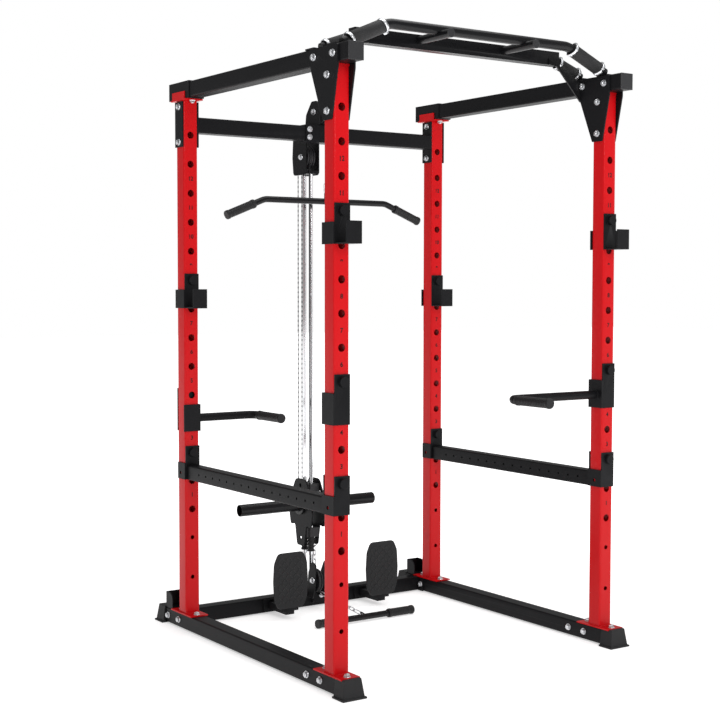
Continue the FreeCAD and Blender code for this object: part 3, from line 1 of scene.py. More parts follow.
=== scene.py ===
# %% [markdown]
# # A power cage with a cable tower
# The cage is welded from square steel tube: four red posts, black rails, a bent
# pull-up bar and, at the rear, a carriage for weight plates that two cables lift.
# The measured frame already has every part in its place and size, in metres. This
# lesson gives those parts softened edges, real finishes and the small things a maker
# adds, such as bolts, welds, grips, treads and numbers.

# %% Load the frame
import json
import math

import bmesh
import bpy
from mathutils import Matrix, Vector


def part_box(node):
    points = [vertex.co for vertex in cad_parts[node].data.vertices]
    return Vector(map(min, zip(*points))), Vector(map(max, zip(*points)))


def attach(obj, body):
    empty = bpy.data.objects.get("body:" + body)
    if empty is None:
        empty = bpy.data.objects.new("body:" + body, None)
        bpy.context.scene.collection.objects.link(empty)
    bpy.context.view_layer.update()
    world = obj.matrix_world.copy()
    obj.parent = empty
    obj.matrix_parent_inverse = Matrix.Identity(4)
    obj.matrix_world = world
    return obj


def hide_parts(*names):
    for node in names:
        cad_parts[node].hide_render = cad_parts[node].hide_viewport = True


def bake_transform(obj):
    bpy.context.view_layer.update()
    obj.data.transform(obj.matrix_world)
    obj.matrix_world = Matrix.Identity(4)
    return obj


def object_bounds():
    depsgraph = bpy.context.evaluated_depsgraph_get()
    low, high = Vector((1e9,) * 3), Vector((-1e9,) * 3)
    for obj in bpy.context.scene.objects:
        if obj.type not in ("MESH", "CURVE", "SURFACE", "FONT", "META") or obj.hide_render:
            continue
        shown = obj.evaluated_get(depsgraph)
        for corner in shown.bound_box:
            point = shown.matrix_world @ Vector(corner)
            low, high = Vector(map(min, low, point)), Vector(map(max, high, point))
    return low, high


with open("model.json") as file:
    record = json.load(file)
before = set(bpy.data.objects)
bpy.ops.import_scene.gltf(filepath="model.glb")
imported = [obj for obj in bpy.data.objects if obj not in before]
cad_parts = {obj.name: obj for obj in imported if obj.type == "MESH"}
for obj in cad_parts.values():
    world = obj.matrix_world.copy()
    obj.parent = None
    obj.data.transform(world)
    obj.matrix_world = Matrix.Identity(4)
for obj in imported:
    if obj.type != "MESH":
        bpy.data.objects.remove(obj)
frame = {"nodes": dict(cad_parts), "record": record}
CAD = frame["nodes"]
cad_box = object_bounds()
BODY_OF = {node: body for body, nodes in frame["record"]["behaviour"]["bodies"].items()
           for node in nodes}

# %% [markdown]
# ## Camera, floor and light
# The camera stands about five metres in front of the cage and a little to its left,
# at chest height, almost level. The floor and the world are pale, and the floor also
# glows as painted light: dimmer close to the cage, where a soft shadow still shows, and
# white further out, where the lamps light it less. The world looks white but lights the
# cage only weakly, so black parts stay black, and large area lights make the long soft
# highlights that show the posts' rounded corners.

# %% Camera
middle = (Vector(cad_box[0]) + Vector(cad_box[1])) / 2
camera_data = bpy.data.cameras.new("camera")
camera_data.sensor_width = 36
camera_data.lens = 70.34
LOOK_DOWN = 3.02
ROLL = -0.08
TURN = -34.25
camera = bpy.data.objects.new("camera", camera_data)
camera.location = (-3.142, -4.397, 1.356)
camera.rotation_euler = [math.radians(angle) for angle in (90 - LOOK_DOWN, ROLL, TURN)]
bpy.context.scene.collection.objects.link(camera)
bpy.context.scene.camera = camera
print("camera is", round((camera.location - middle).length, 2), "m from the middle of the cage")


# %% Floor, world and lights
def link(obj):
    bpy.context.scene.collection.objects.link(obj)
    return obj


def mesh_object(name, vertices, faces):
    mesh = bpy.data.meshes.new(name)
    mesh.from_pydata([tuple(v) for v in vertices], [], faces)
    mesh.update()
    return link(bpy.data.objects.new(name, mesh))


FLOOR_HALF = 30.0
floor = mesh_object("floor", [(-FLOOR_HALF, -FLOOR_HALF, 0), (FLOOR_HALF, -FLOOR_HALF, 0),
                              (FLOOR_HALF, FLOOR_HALF, 0), (-FLOOR_HALF, FLOOR_HALF, 0)],
                    [(0, 1, 2, 3)])
pale_floor = bpy.data.materials.new("pale_floor")
pale_floor.use_nodes = True
floor_tree = pale_floor.node_tree
floor_shader = floor_tree.nodes["Principled BSDF"]
for label, value in (("Base Color", (0.9, 0.9, 0.9, 1)), ("Roughness", 0.9),
                     ("Specular IOR Level", 0.0), ("Emission Color", (1, 1, 1, 1))):
    floor_shader.inputs[label].default_value = value
# painted light: the floor glows less close to the cage, where it still takes a soft shadow, and
# glows fully white further out, where the lamps light it less
spot = floor_tree.nodes.new("ShaderNodeTexCoord")
reach = floor_tree.nodes.new("ShaderNodeVectorMath")
reach.operation = "LENGTH"
floor_glow = floor_tree.nodes.new("ShaderNodeMapRange")
floor_glow.interpolation_type = "SMOOTHSTEP"
for label, value in (("From Min", 0.7), ("From Max", 2.6), ("To Min", 0.5), ("To Max", 1.0)):
    floor_glow.inputs[label].default_value = value
floor_tree.links.new(spot.outputs["Object"], reach.inputs[0])
floor_tree.links.new(reach.outputs["Value"], floor_glow.inputs["Value"])
floor_tree.links.new(floor_glow.outputs["Result"], floor_shader.inputs["Emission Strength"])
floor.data.materials.append(pale_floor)

world = bpy.data.worlds.new("studio")
world.use_nodes = True
sky = world.node_tree
seen = sky.nodes["Background"]
glow = sky.nodes.new("ShaderNodeBackground")
for background, strength in ((seen, 1.0), (glow, 0.34)):
    background.inputs["Color"].default_value = (1, 1, 1, 1)
    background.inputs["Strength"].default_value = strength
ray = sky.nodes.new("ShaderNodeLightPath")
choice = sky.nodes.new("ShaderNodeMixShader")
sky.links.new(ray.outputs["Is Camera Ray"], choice.inputs["Fac"])
sky.links.new(glow.outputs[0], choice.inputs[1])
sky.links.new(seen.outputs[0], choice.inputs[2])
sky.links.new(choice.outputs[0], sky.nodes["World Output"].inputs["Surface"])
bpy.context.scene.world = world
bpy.context.scene.view_settings.view_transform = "Standard"
bpy.context.scene.view_settings.look = "None"


def area_light(name, place, aim, width, height, power):
    data = bpy.data.lights.new(name, "AREA")
    data.shape = "RECTANGLE"
    data.size = width
    data.size_y = height
    data.energy = power
    light = link(bpy.data.objects.new(name, data))
    light.location = place
    light.rotation_euler = (Vector(aim) - Vector(place)).to_track_quat("-Z", "Y").to_euler()


CHEST = (0, 0, 1.1)
area_light("key", (-1.0, -6.5, 3.6), CHEST, 2.6, 2.6, 150)
area_light("top", (0.5, 0.0, 6.0), (0, 0, 0), 5.0, 5.0, 150)
area_light("side", (6.0, -2.5, 2.5), CHEST, 2.0, 4.0, 60)

# %% [markdown]
# ## Effects that several finishes share
# Paint, rubber and plated steel all vary a little in tone, all have a fine surface
# and all show lighter edges where hands and bars rub them. Each effect is one group
# with named sockets, so a finish only says how much of it there is.


# %% Shader groups
def new_group(name, inputs, outputs):
    tree = bpy.data.node_groups.new(name, "ShaderNodeTree")
    for label, kind, value in inputs:
        socket = tree.interface.new_socket(label, in_out="INPUT", socket_type=kind)
        if value is not None:
            socket.default_value = value
    for label, kind in outputs:
        tree.interface.new_socket(label, in_out="OUTPUT", socket_type=kind)
    return tree, tree.nodes.new("NodeGroupInput"), tree.nodes.new("NodeGroupOutput")


FLOAT = "NodeSocketFloat"
VECTOR = "NodeSocketVector"


def math_node(tree, operation, first, second):
    node = tree.nodes.new("ShaderNodeMath")
    node.operation = operation
    for socket, value in zip(node.inputs, (first, second)):
        if isinstance(value, (int, float)):
            socket.default_value = value
        else:
            tree.links.new(value, socket)
    return node.outputs[0]


def noise_node(tree, vector, scale, detail):
    node = tree.nodes.new("ShaderNodeTexNoise")
    node.inputs["Detail"].default_value = detail
    tree.links.new(vector, node.inputs["Vector"])
    if isinstance(scale, (int, float)):
        node.inputs["Scale"].default_value = scale
    else:
        tree.links.new(scale, node.inputs["Scale"])
    return node.outputs[0]


tone, tone_in, tone_out = new_group(
    "tone_drift", [("Vector", VECTOR, None), ("Scale", FLOAT, 4.0), ("Amount", FLOAT, 0.1)],
    [("Factor", FLOAT)])
drift = noise_node(tone, tone_in.outputs["Vector"], tone_in.outputs["Scale"], 3)
drift = math_node(tone, "SUBTRACT", drift, 0.5)
drift = math_node(tone, "MULTIPLY", drift, tone_in.outputs["Amount"])
tone.links.new(math_node(tone, "ADD", drift, 1.0), tone_out.inputs["Factor"])

skin, skin_in, skin_out = new_group(
    "fine_skin", [("Vector", VECTOR, None), ("Scale", FLOAT, 900.0), ("Wave Scale", FLOAT, 90.0),
                  ("Wave Share", FLOAT, 0.5)],
    [("Height", FLOAT)])
pebbles = noise_node(skin, skin_in.outputs["Vector"], skin_in.outputs["Scale"], 2)
waves = noise_node(skin, skin_in.outputs["Vector"], skin_in.outputs["Wave Scale"], 1)
waves = math_node(skin, "MULTIPLY", waves, skin_in.outputs["Wave Share"])
skin.links.new(math_node(skin, "ADD", pebbles, waves), skin_out.inputs["Height"])

rub, rub_in, rub_out = new_group(
    "edge_rub", [("Vector", VECTOR, None), ("Amount", FLOAT, 0.5)], [("Mask", FLOAT)])
geometry = rub.nodes.new("ShaderNodeNewGeometry")
FLAT_POINTINESS = 0.515
EDGE_CONTRAST = 9.0
PATCH_SCALE = 35.0
sharp = math_node(rub, "SUBTRACT", geometry.outputs["Pointiness"], FLAT_POINTINESS)
sharp = math_node(rub, "MULTIPLY", sharp, EDGE_CONTRAST)
patches = noise_node(rub, rub_in.outputs["Vector"], PATCH_SCALE, 3)
worn = math_node(rub, "MULTIPLY", sharp, patches)
worn = math_node(rub, "MULTIPLY", worn, rub_in.outputs["Amount"])
clamp = rub.nodes.new("ShaderNodeClamp")
rub.links.new(worn, clamp.inputs["Value"])
rub.links.new(clamp.outputs["Result"], rub_out.inputs["Mask"])
print("groups:", [g.name for g in bpy.data.node_groups])


# %% [markdown]
# ## Finishes
# Every finish is one Principled shader. Its colour drifts a little and turns paler at
# rubbed edges, its roughness drifts too, and a bump gives the skin: orange peel on the
# enamel, fine pebbles on powder coat, rubber and zinc, and grain drawn out upright on chrome.

# %% The finish builder
def finish(name, colour, roughness, metallic=0.0, gloss=0.5, coat=0.0, coat_roughness=0.1,
           worn=None, wear=0.0, tone_scale=3.0, tone_amount=0.15, skin_scale=900.0,
           wave_scale=90.0, wave_share=0.5, skin_depth=0.00015, skin_strength=0.3,
           stretch=(1, 1, 1)):
    material = bpy.data.materials.new(name)
    material.use_nodes = True
    tree = material.node_tree
    shader = tree.nodes["Principled BSDF"]
    shader.inputs["Metallic"].default_value = metallic
    shader.inputs["Specular IOR Level"].default_value = gloss
    shader.inputs["Coat Weight"].default_value = coat
    shader.inputs["Coat Roughness"].default_value = coat_roughness
    place = tree.nodes.new("ShaderNodeTexCoord")
    mapping = tree.nodes.new("ShaderNodeMapping")
    mapping.inputs["Scale"].default_value = stretch
    tree.links.new(place.outputs["Object"], mapping.inputs["Vector"])
    vector = mapping.outputs["Vector"]

    def group(tree_used, **values):
        node = tree.nodes.new("ShaderNodeGroup")
        node.node_tree = tree_used
        tree.links.new(vector, node.inputs["Vector"])
        for label, value in values.items():
            node.inputs[label.replace("_", " ")].default_value = value
        return node.outputs[0]

    factor = group(tone, Scale=tone_scale, Amount=tone_amount)
    shade = tree.nodes.new("ShaderNodeMix")
    shade.data_type = "RGBA"
    shade.blend_type = "MULTIPLY"
    shade.inputs["Factor"].default_value = 1.0
    shade.inputs[6].default_value = (*colour, 1)
    tree.links.new(factor, shade.inputs[7])
    edges = tree.nodes.new("ShaderNodeMix")
    edges.data_type = "RGBA"
    edges.inputs[7].default_value = (*(worn or colour), 1)
    tree.links.new(group(rub, Amount=wear), edges.inputs["Factor"])
    tree.links.new(shade.outputs[2], edges.inputs[6])
    tree.links.new(edges.outputs[2], shader.inputs["Base Color"])
    tree.links.new(math_node(tree, "MULTIPLY", factor, roughness), shader.inputs["Roughness"])
    bump = tree.nodes.new("ShaderNodeBump")
    bump.inputs["Strength"].default_value = skin_strength
    bump.inputs["Distance"].default_value = skin_depth
    tree.links.new(group(skin, Scale=skin_scale, Wave_Scale=wave_scale, Wave_Share=wave_share),
                   bump.inputs["Height"])
    tree.links.new(bump.outputs["Normal"], shader.inputs["Normal"])
    return material


# %% The finishes of this cage
red_enamel = finish("red_enamel", (0.56, 0.003, 0.006), 0.34, gloss=0.12, coat=0.08,
                    coat_roughness=0.12, worn=(0.6, 0.02, 0.02), wear=0.3, tone_amount=0.12,
                    skin_scale=260.0, wave_scale=60.0, wave_share=1.0, skin_depth=0.0003,
                    skin_strength=0.12)
black_powder = finish("black_powder_coat", (0.007, 0.007, 0.008), 0.40, gloss=0.1,
                      worn=(0.03, 0.03, 0.032), wear=0.45, tone_amount=0.3, skin_scale=1400.0,
                      skin_strength=0.35)
black_gloss = finish("black_bar_enamel", (0.006, 0.006, 0.007), 0.28, gloss=0.2, coat=0.08,
                     worn=(0.03, 0.03, 0.03), wear=0.4, tone_amount=0.25, skin_scale=300.0,
                     skin_strength=0.12)
rubber = finish("black_rubber", (0.012, 0.012, 0.013), 0.6, gloss=0.3, worn=(0.04, 0.04, 0.04),
                wear=0.6, tone_amount=0.3, skin_scale=1100.0, skin_depth=0.0003,
                skin_strength=0.5)
grip_foam = finish("grip_rubber", (0.008, 0.008, 0.009), 0.5, gloss=0.3, tone_amount=0.3,
                   skin_scale=700.0, skin_depth=0.0003, skin_strength=0.45)
plastic = finish("moulded_plastic", (0.016, 0.016, 0.018), 0.45, gloss=0.35,
                 worn=(0.05, 0.05, 0.05), wear=0.5, skin_scale=1600.0, skin_strength=0.3)
zinc = finish("zinc_plate", (0.66, 0.67, 0.69), 0.30, metallic=1.0, tone_scale=60.0,
              tone_amount=0.35, skin_scale=500.0, skin_strength=0.25)
chrome = finish("polished_chrome", (0.80, 0.81, 0.83), 0.09, metallic=1.0, tone_scale=8.0,
                tone_amount=0.2, skin_scale=900.0, skin_strength=0.03, stretch=(1, 1, 0.05))
cable_coat = finish("coated_cable", (0.014, 0.014, 0.015), 0.5, gloss=0.2, tone_amount=0.2)
ink = finish("printed_ink", (0.012, 0.003, 0.004), 0.55, gloss=0.2, tone_amount=0.2)
print("finishes:", [m.name for m in bpy.data.materials])

# %% [markdown]
# ## Softened edges
# A cut or pressed edge is never a knife edge. Each part's mesh is copied, its loose
# triangles are merged, flat faces are joined again, and a small bevel rounds the
# edges. The copy stands for the part and moves with its body.


# %% The edge softener
def merged_copy(node):
    """A closed copy of a part's mesh with its flat faces whole."""
    mesh = CAD[node].data.copy()
    shell = bmesh.new()
    shell.from_mesh(mesh)
    bmesh.ops.remove_doubles(shell, verts=shell.verts, dist=1e-5)
    bmesh.ops.dissolve_limit(shell, angle_limit=math.radians(0.5), verts=shell.verts,
                             edges=shell.edges)
    shell.to_mesh(mesh)
    shell.free()
    return mesh


def place_piece(piece, body, replaced=()):
    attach(piece, body)
    if replaced:
        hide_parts(*replaced)
    return piece


def soften(node, material, edge=0.0012, segments=2):
    mesh = merged_copy(node)
    mesh.materials.clear()
    mesh.materials.append(material)
    mesh.shade_smooth()
    mesh.set_sharp_from_angle(angle=math.radians(35))
    piece = link(bpy.data.objects.new("soft_" + node, mesh))
    bevel = piece.modifiers.new("edge", "BEVEL")
    bevel.width = edge
    bevel.segments = segments
    bevel.limit_method = "ANGLE"
    bevel.angle_limit = math.radians(40)
    bevel.harden_normals = True
    return place_piece(piece, BODY_OF[node], [node])


# %% Frame and attachments
POWDER = ["base_rail_left", "base_rail_right", "base_cross_member", "rail_channel_brackets",
          "top_rail_left", "top_rail_right", "gusset_plates_left", "gusset_plates_right",
          "top_cross_member", "top_backing_plates", "tower_clamp", "upper_pulley_housing",
          "lower_pulley_housing", "low_pulley_bracket", "safety_bar_left", "safety_bar_right",
          "carriage_plates", "dip_bracket_left", "dip_bracket_right", "spare_dip_bracket"]
HOOKS = [node for node in sorted(CAD) if node.startswith("rack_hook")]
PINS = [node for node in sorted(CAD) if node.startswith("safety_pin")]
POSTS = [node for node in sorted(CAD) if node.startswith("upright")]
for node in POWDER + HOOKS:
    soften(node, black_powder)
for node in PINS:
    soften(node, black_powder, 0.002)
for node in POSTS + ["post_plates"]:
    soften(node, red_enamel, 0.0008)
for node in ("pull_up_bar", "weight_sleeves", "lat_bar", "row_bar"):
    soften(node, black_gloss)
soften("rubber_feet", rubber, 0.003, 3)
soften("end_plugs", plastic, 0.0025, 3)
for node in ("lat_pulley_front", "lat_pulley_rear", "row_pulley_upper", "row_pulley_lower"):
    soften(node, plastic, 0.0006)
soften("guide_blocks", plastic, 0.002)
soften("guide_rods", chrome, 0.0008)
for node in ("lat_chain", "row_chain", "carriage_chain"):
    CAD[node].data.materials.clear()
    CAD[node].data.materials.append(zinc)

# %% [markdown]
# ## Bolts
# Each bolt in the frame is a plain block with a hexagon at each end. The real ones
# have a chamfered head, a round washer and a domed nut. A Geometry Nodes tree puts one
# finished head on every point it is given, facing the way that point's arrow says, so
# all the bolts on a body are one piece made from one tree.


# %% Islands of a part
def islands(node):
    """The corners of each separate solid of a part."""
    shell = bmesh.new()
    shell.from_mesh(CAD[node].data)
    bmesh.ops.remove_doubles(shell, verts=shell.verts, dist=1e-5)
    left = set(shell.verts)
    found = []
    while left:
        stack = [left.pop()]
        island = []
        while stack:
            vertex = stack.pop()
            island.append(vertex.co.copy())
            for edge in vertex.link_edges:
                other = edge.other_vert(vertex)
                if other in left:
                    left.remove(other)
                    stack.append(other)
        found.append(island)
    shell.free()
    return found


def corners(points):
    low = Vector([min(p[i] for p in points) for i in range(3)])
    high = Vector([max(p[i] for p in points) for i in range(3)])
    return low, high


print("bolts:", len(islands("frame_bolts")))


# %% Geometry Nodes helpers
def node_tree(name, inputs):
    tree = bpy.data.node_groups.new(name, "GeometryNodeTree")
    tree.interface.new_socket("Geometry", in_out="INPUT", socket_type="NodeSocketGeometry")
    for label, kind, value in inputs:
        socket = tree.interface.new_socket(label, in_out="INPUT", socket_type=kind)
        if value is not None:
            socket.default_value = value
    tree.interface.new_socket("Geometry", in_out="OUTPUT", socket_type="NodeSocketGeometry")
    return tree, tree.nodes.new("NodeGroupInput"), tree.nodes.new("NodeGroupOutput")


def add(tree, kind, links=(), **values):
    """A node with its properties set, its plain sockets filled and its links made."""
    node = tree.nodes.new(kind)
    for label, value in values.items():
        setattr(node, label, value)
    for label, value in links:
        if isinstance(value, bpy.types.NodeSocket):
            tree.links.new(value, node.inputs[label])
        else:
            node.inputs[label].default_value = value
    return node


def end_tree(tree, source, given, result):
    """Realize the copies, give them their material and send them out."""
    real = add(tree, "GeometryNodeRealizeInstances", [("Geometry", source)])
    dressed = add(tree, "GeometryNodeSetMaterial", [("Geometry", real.outputs[0]),
                                                    ("Material", given.outputs["Material"])])
    tree.links.new(dressed.outputs[0], result.inputs["Geometry"])


def baked(obj, tree, name, **values):
    """Run a tree on an object and return the plain mesh it makes."""
    modifier = obj.modifiers.new("tree", "NODES")
    modifier.node_group = tree
    for item in tree.interface.items_tree:
        label = item.name.replace(" ", "_")
        if item.item_type == "SOCKET" and item.in_out == "INPUT" and label in values:
            modifier[item.identifier] = values[label]
    bpy.context.view_layer.update()
    evaluated = obj.evaluated_get(bpy.context.evaluated_depsgraph_get())
    mesh = bpy.data.meshes.new_from_object(evaluated)
    mesh.name = name
    piece = link(bpy.data.objects.new(name, mesh))
    bpy.data.objects.remove(obj)
    return piece


def arrow_points(name, places):
    """Points that each carry a direction called facing."""
    mesh = bpy.data.meshes.new(name)
    mesh.from_pydata([tuple(place) for place, arrow in places], [], [])
    facing = mesh.attributes.new("facing", "FLOAT_VECTOR", "POINT")
    for item, (place, arrow) in zip(facing.data, places):
        item.vector = arrow
    return link(bpy.data.objects.new(name, mesh))


# %% The bolt head tree
heads, given, result = node_tree("hexagon_heads", [
    ("Head Radius", "NodeSocketFloat", 0.0105), ("Head Height", "NodeSocketFloat", 0.007),
    ("Washer Radius", "NodeSocketFloat", 0.013), ("Washer Height", "NodeSocketFloat", 0.002),
    ("Material", "NodeSocketMaterial", None)])


def lifted_cone(tree, sides, low_radius, high_radius, height, lift):
    """A flat-ended cone whose foot stands at a height of its own."""
    cone = add(tree, "GeometryNodeMeshCone", [("Vertices", sides), ("Radius Bottom", low_radius),
                                              ("Radius Top", high_radius), ("Depth", height)])
    place = add(tree, "ShaderNodeCombineXYZ", [("Z", lift)])
    moved = add(tree, "GeometryNodeTransform", [("Geometry", cone.outputs["Mesh"]),
                                                ("Translation", place.outputs[0])])
    return moved.outputs[0]


def sum_of(tree, operation, first, second):
    return add(tree, "ShaderNodeMath", [(0, first), (1, second)], operation=operation).outputs[0]


washer_height = given.outputs["Washer Height"]
head_radius = given.outputs["Head Radius"]
body_height = sum_of(heads, "MULTIPLY", given.outputs["Head Height"], 0.78)
rim_height = sum_of(heads, "MULTIPLY", given.outputs["Head Height"], 0.22)
rim_lift = sum_of(heads, "ADD", washer_height, body_height)
stub_lift = sum_of(heads, "ADD", rim_lift, rim_height)
parts = [
    lifted_cone(heads, 32, given.outputs["Washer Radius"],
                sum_of(heads, "MULTIPLY", given.outputs["Washer Radius"], 0.95),
                washer_height, 0.0),
    lifted_cone(heads, 6, head_radius, head_radius, body_height, washer_height),
    lifted_cone(heads, 6, head_radius, sum_of(heads, "MULTIPLY", head_radius, 0.82),
                rim_height, rim_lift),
    lifted_cone(heads, 20, sum_of(heads, "MULTIPLY", head_radius, 0.5),
                sum_of(heads, "MULTIPLY", head_radius, 0.38), 0.0022, stub_lift)]
head_mesh = heads.nodes.new("GeometryNodeJoinGeometry")
for part in parts:
    heads.links.new(part, head_mesh.inputs[0])
direction = add(heads, "GeometryNodeInputNamedAttribute", [("Name", "facing")],
                data_type="FLOAT_VECTOR")
turn = add(heads, "FunctionNodeAlignRotationToVector", [("Vector", direction.outputs[0])],
           axis="Z")
copies = add(heads, "GeometryNodeInstanceOnPoints", [
    ("Points", given.outputs["Geometry"]), ("Instance", head_mesh.outputs[0]),
    ("Rotation", turn.outputs[0])])
end_tree(heads, copies.outputs[0], given, result)

# %% Bolts on the frame and the tower
HEAD_GRIP = 0.009
NUT_GRIP = 0.011


def bolt_ends(node):
    """Where each bolt's two washers sit, and which way each end faces."""
    ends = []
    for island in islands(node):
        low, high = corners(island)
        spread = high - low
        axis = max(range(3), key=lambda i: spread[i])
        arrow = Vector([1.0 if i == axis else 0.0 for i in range(3)])
        centre = (low + high) / 2
        for limit, sign, grip in ((low, -1, HEAD_GRIP), (high, 1, NUT_GRIP)):
            place = centre.copy()
            place[axis] = limit[axis] - sign * grip
            ends.append((place, arrow * sign))
    return ends


ends = bolt_ends("frame_bolts")
piece = baked(arrow_points("bolt_points", ends), heads, "bolt_heads", Material=zinc)
place_piece(piece, "frame", ["frame_bolts"])
print(piece.name, len(ends), "heads,", len(piece.data.polygons), "faces")

# %% [markdown]
# ## Clamps on the sleeves
# Eight narrow steel bands hold the rubber sleeves on the sloping arms. A hose clamp's
# band is slotted all round and has a small screw housing, so a tree sets short ribs
# round a ring and adds the housing at one place.


# %% The band tree
bands, given, result = node_tree("ribbed_bands", [
    ("Radius", "NodeSocketFloat", 0.026), ("Width", "NodeSocketFloat", 0.011),
    ("Ribs", "NodeSocketInt", 44), ("Material", "NodeSocketMaterial", None)])
radius = given.outputs["Radius"]
width = given.outputs["Width"]
round_curve = add(bands, "GeometryNodeCurvePrimitiveCircle",
                  [("Resolution", 64), ("Radius", radius)])
strip = add(bands, "GeometryNodeCurvePrimitiveQuadrilateral",
            [("Width", 0.0012), ("Height", width)])
band = add(bands, "GeometryNodeCurveToMesh", [("Curve", round_curve.outputs[0]),
                                              ("Profile Curve", strip.outputs[0])])
rib_ring = add(bands, "GeometryNodeMeshCircle", [("Vertices", given.outputs["Ribs"]),
                                                 ("Radius", radius)])
where = bands.nodes.new("GeometryNodeInputPosition")
outwards = add(bands, "FunctionNodeAlignRotationToVector", [("Vector", where.outputs[0])], axis="X")
rib_size = add(bands, "ShaderNodeCombineXYZ",
               [("X", 0.003), ("Y", 0.0014), ("Z", sum_of(bands, "MULTIPLY", width, 0.72))])
rib = add(bands, "GeometryNodeMeshCube", [("Size", rib_size.outputs[0])])
ribs = add(bands, "GeometryNodeInstanceOnPoints", [
    ("Points", rib_ring.outputs[0]), ("Instance", rib.outputs[0]),
    ("Rotation", outwards.outputs[0])])
screw_place = add(bands, "ShaderNodeCombineXYZ", [("X", radius)])
housing = add(bands, "GeometryNodeMeshCube", [("Size", (0.009, 0.014, 0.011))])
screw = add(bands, "GeometryNodeMeshCylinder",
            [("Vertices", 16), ("Radius", 0.0042), ("Depth", 0.02)])
screw_turned = add(bands, "GeometryNodeTransform", [("Geometry", screw.outputs[0]),
                                                    ("Rotation", (math.pi / 2, 0, 0))])
fastener = bands.nodes.new("GeometryNodeJoinGeometry")
bands.links.new(housing.outputs[0], fastener.inputs[0])
bands.links.new(screw_turned.outputs[0], fastener.inputs[0])
fastener_moved = add(bands, "GeometryNodeTransform", [("Geometry", fastener.outputs[0]),
                                                      ("Translation", screw_place.outputs[0])])
whole = bands.nodes.new("GeometryNodeJoinGeometry")
for source in (band, ribs, fastener_moved):
    bands.links.new(source.outputs[0], whole.inputs[0])
direction = add(bands, "GeometryNodeInputNamedAttribute", [("Name", "facing")],
                data_type="FLOAT_VECTOR")
turn = add(bands, "FunctionNodeAlignRotationToVector", [("Vector", direction.outputs[0])],
           axis="Z")
copies = add(bands, "GeometryNodeInstanceOnPoints", [
    ("Points", given.outputs["Geometry"]), ("Instance", whole.outputs[0]),
    ("Rotation", turn.outputs[0])])
end_tree(bands, copies.outputs[0], given, result)


# %% The eight clamps
def ring_frame(island):
    """The centre, axis and outer radius of a flat ring of points."""
    centre = sum(island, Vector()) / len(island)
    # the arms slope in the X-Z plane, so the ring's axis lies there too
    best = min((Vector((math.cos(a), 0, math.sin(a))) for a in
                [math.radians(d / 4) for d in range(720)]),
               key=lambda axis: sum(abs((p - centre).dot(axis)) for p in island))
    radius = max(((p - centre) - best * (p - centre).dot(best)).length for p in island)
    return centre, best, radius


rings = [ring_frame(island) for island in islands("sleeve_clamps")]
BAND_INSET = 0.001
limit = max(radius for centre, axis, radius in rings) - 0.001
for label, chosen in (("front", [ring for ring in rings if ring[2] > limit]),
                      ("rear", [ring for ring in rings if ring[2] <= limit])):
    points = arrow_points("clamps", [(centre, axis) for centre, axis, radius in chosen])
    piece = baked(points, bands, "ribbed_clamps_" + label, Radius=chosen[0][2] - BAND_INSET,
                  Material=chrome)
    place_piece(piece, "frame", ["sleeve_clamps"])
    print(piece.name, len(chosen), "bands of radius", round(chosen[0][2], 4))

# %% [markdown]
# ## Turned pieces
# Grips, sleeves and bumpers are all shapes turned on a lathe: a profile of distance
# and radius, spun round a line. One helper spins any profile about any axis.


# %% The lathe
def turned(name, start, end, profile, material, sides=40):
    """Spin (share along, radius) pairs round the line from start to end."""
    start = Vector(start)
    end = Vector(end)
    along = (end - start).normalized()
    length = (end - start).length
    across = along.orthogonal().normalized()
    other = along.cross(across)
    vertices = []
    faces = []
    for share, radius in profile:
        for i in range(sides):
            angle = 2 * math.pi * i / sides
            vertices.append(start + along * (share * length)
                            + (across * math.cos(angle) + other * math.sin(angle)) * radius)
    for row in range(len(profile) - 1):
        for i in range(sides):
            j = (i + 1) % sides
            faces.append((row * sides + i, row * sides + j, (row + 1) * sides + j,
                          (row + 1) * sides + i))
    faces.append(tuple(reversed(range(sides))))
    last = (len(profile) - 1) * sides
    faces.append(tuple(range(last, last + sides)))
    piece = mesh_object(name, vertices, faces)
    piece.data.materials.append(material)
    piece.data.shade_smooth()
    piece.data.set_sharp_from_angle(angle=math.radians(50))
    return piece


def joined(name, pieces):
    """Several plain meshes as one piece."""
    whole_mesh = bmesh.new()
    for piece in pieces:
        whole_mesh.from_mesh(piece.data)
    mesh = bpy.data.meshes.new(name)
    whole_mesh.to_mesh(mesh)
    whole_mesh.free()
    mesh.materials.append(pieces[0].data.materials[0])
    for piece in pieces:
        bpy.data.objects.remove(piece)
    return link(bpy.data.objects.new(name, mesh))


def line_of(island):
    """The two ends of a straight round piece and its radius."""
    centre = sum(island, Vector()) / len(island)
    far = max(island, key=lambda p: (p - centre).length)
    rough = (far - centre).normalized()
    side = [p for p in island if (p - centre).dot(rough) > 0]
    other_side = [p for p in island if (p - centre).dot(rough) <= 0]
    first = sum(other_side, Vector()) / len(other_side)
    second = sum(side, Vector()) / len(side)
    along = (second - first).normalized()
    reach = [(p - first).dot(along) for p in island]
    radius = max(((p - first) - along * (p - first).dot(along)).length for p in island)
    return first + along * min(reach), first + along * max(reach), radius


def grip_profile(length, radius, ridge=0.0009, pitch=0.0085):
    """A grip with rolled ends and shallow ridges along its middle."""
    waist = radius - 0.0012
    end = [(0.0, radius * 0.72), (0.0, radius * 0.93), (0.003, radius), (0.012, radius),
           (0.014, waist)]
    first_ridge = 0.016
    rows = list(end)
    for i in range(int((length - 2 * first_ridge) / pitch)):
        at = first_ridge + i * pitch
        rows += [(at, waist - ridge), (at + pitch * 0.25, waist), (at + pitch * 0.6, waist),
                 (at + pitch * 0.85, waist - ridge)]
    rows += [(length - at, r) for at, r in reversed(end)]
    return [(at / length, r) for at, r in rows]


# %% Grips, sleeves and bumpers
def sleeve_profile(length, radius):
    """A plain tube with a small chamfer at each end."""
    rows = [(0, radius - 0.006), (0, radius - 0.0012), (0.0015, radius)]
    rows += [(length - at, r) for at, r in reversed(rows)]
    return [(at / length, r) for at, r in rows]


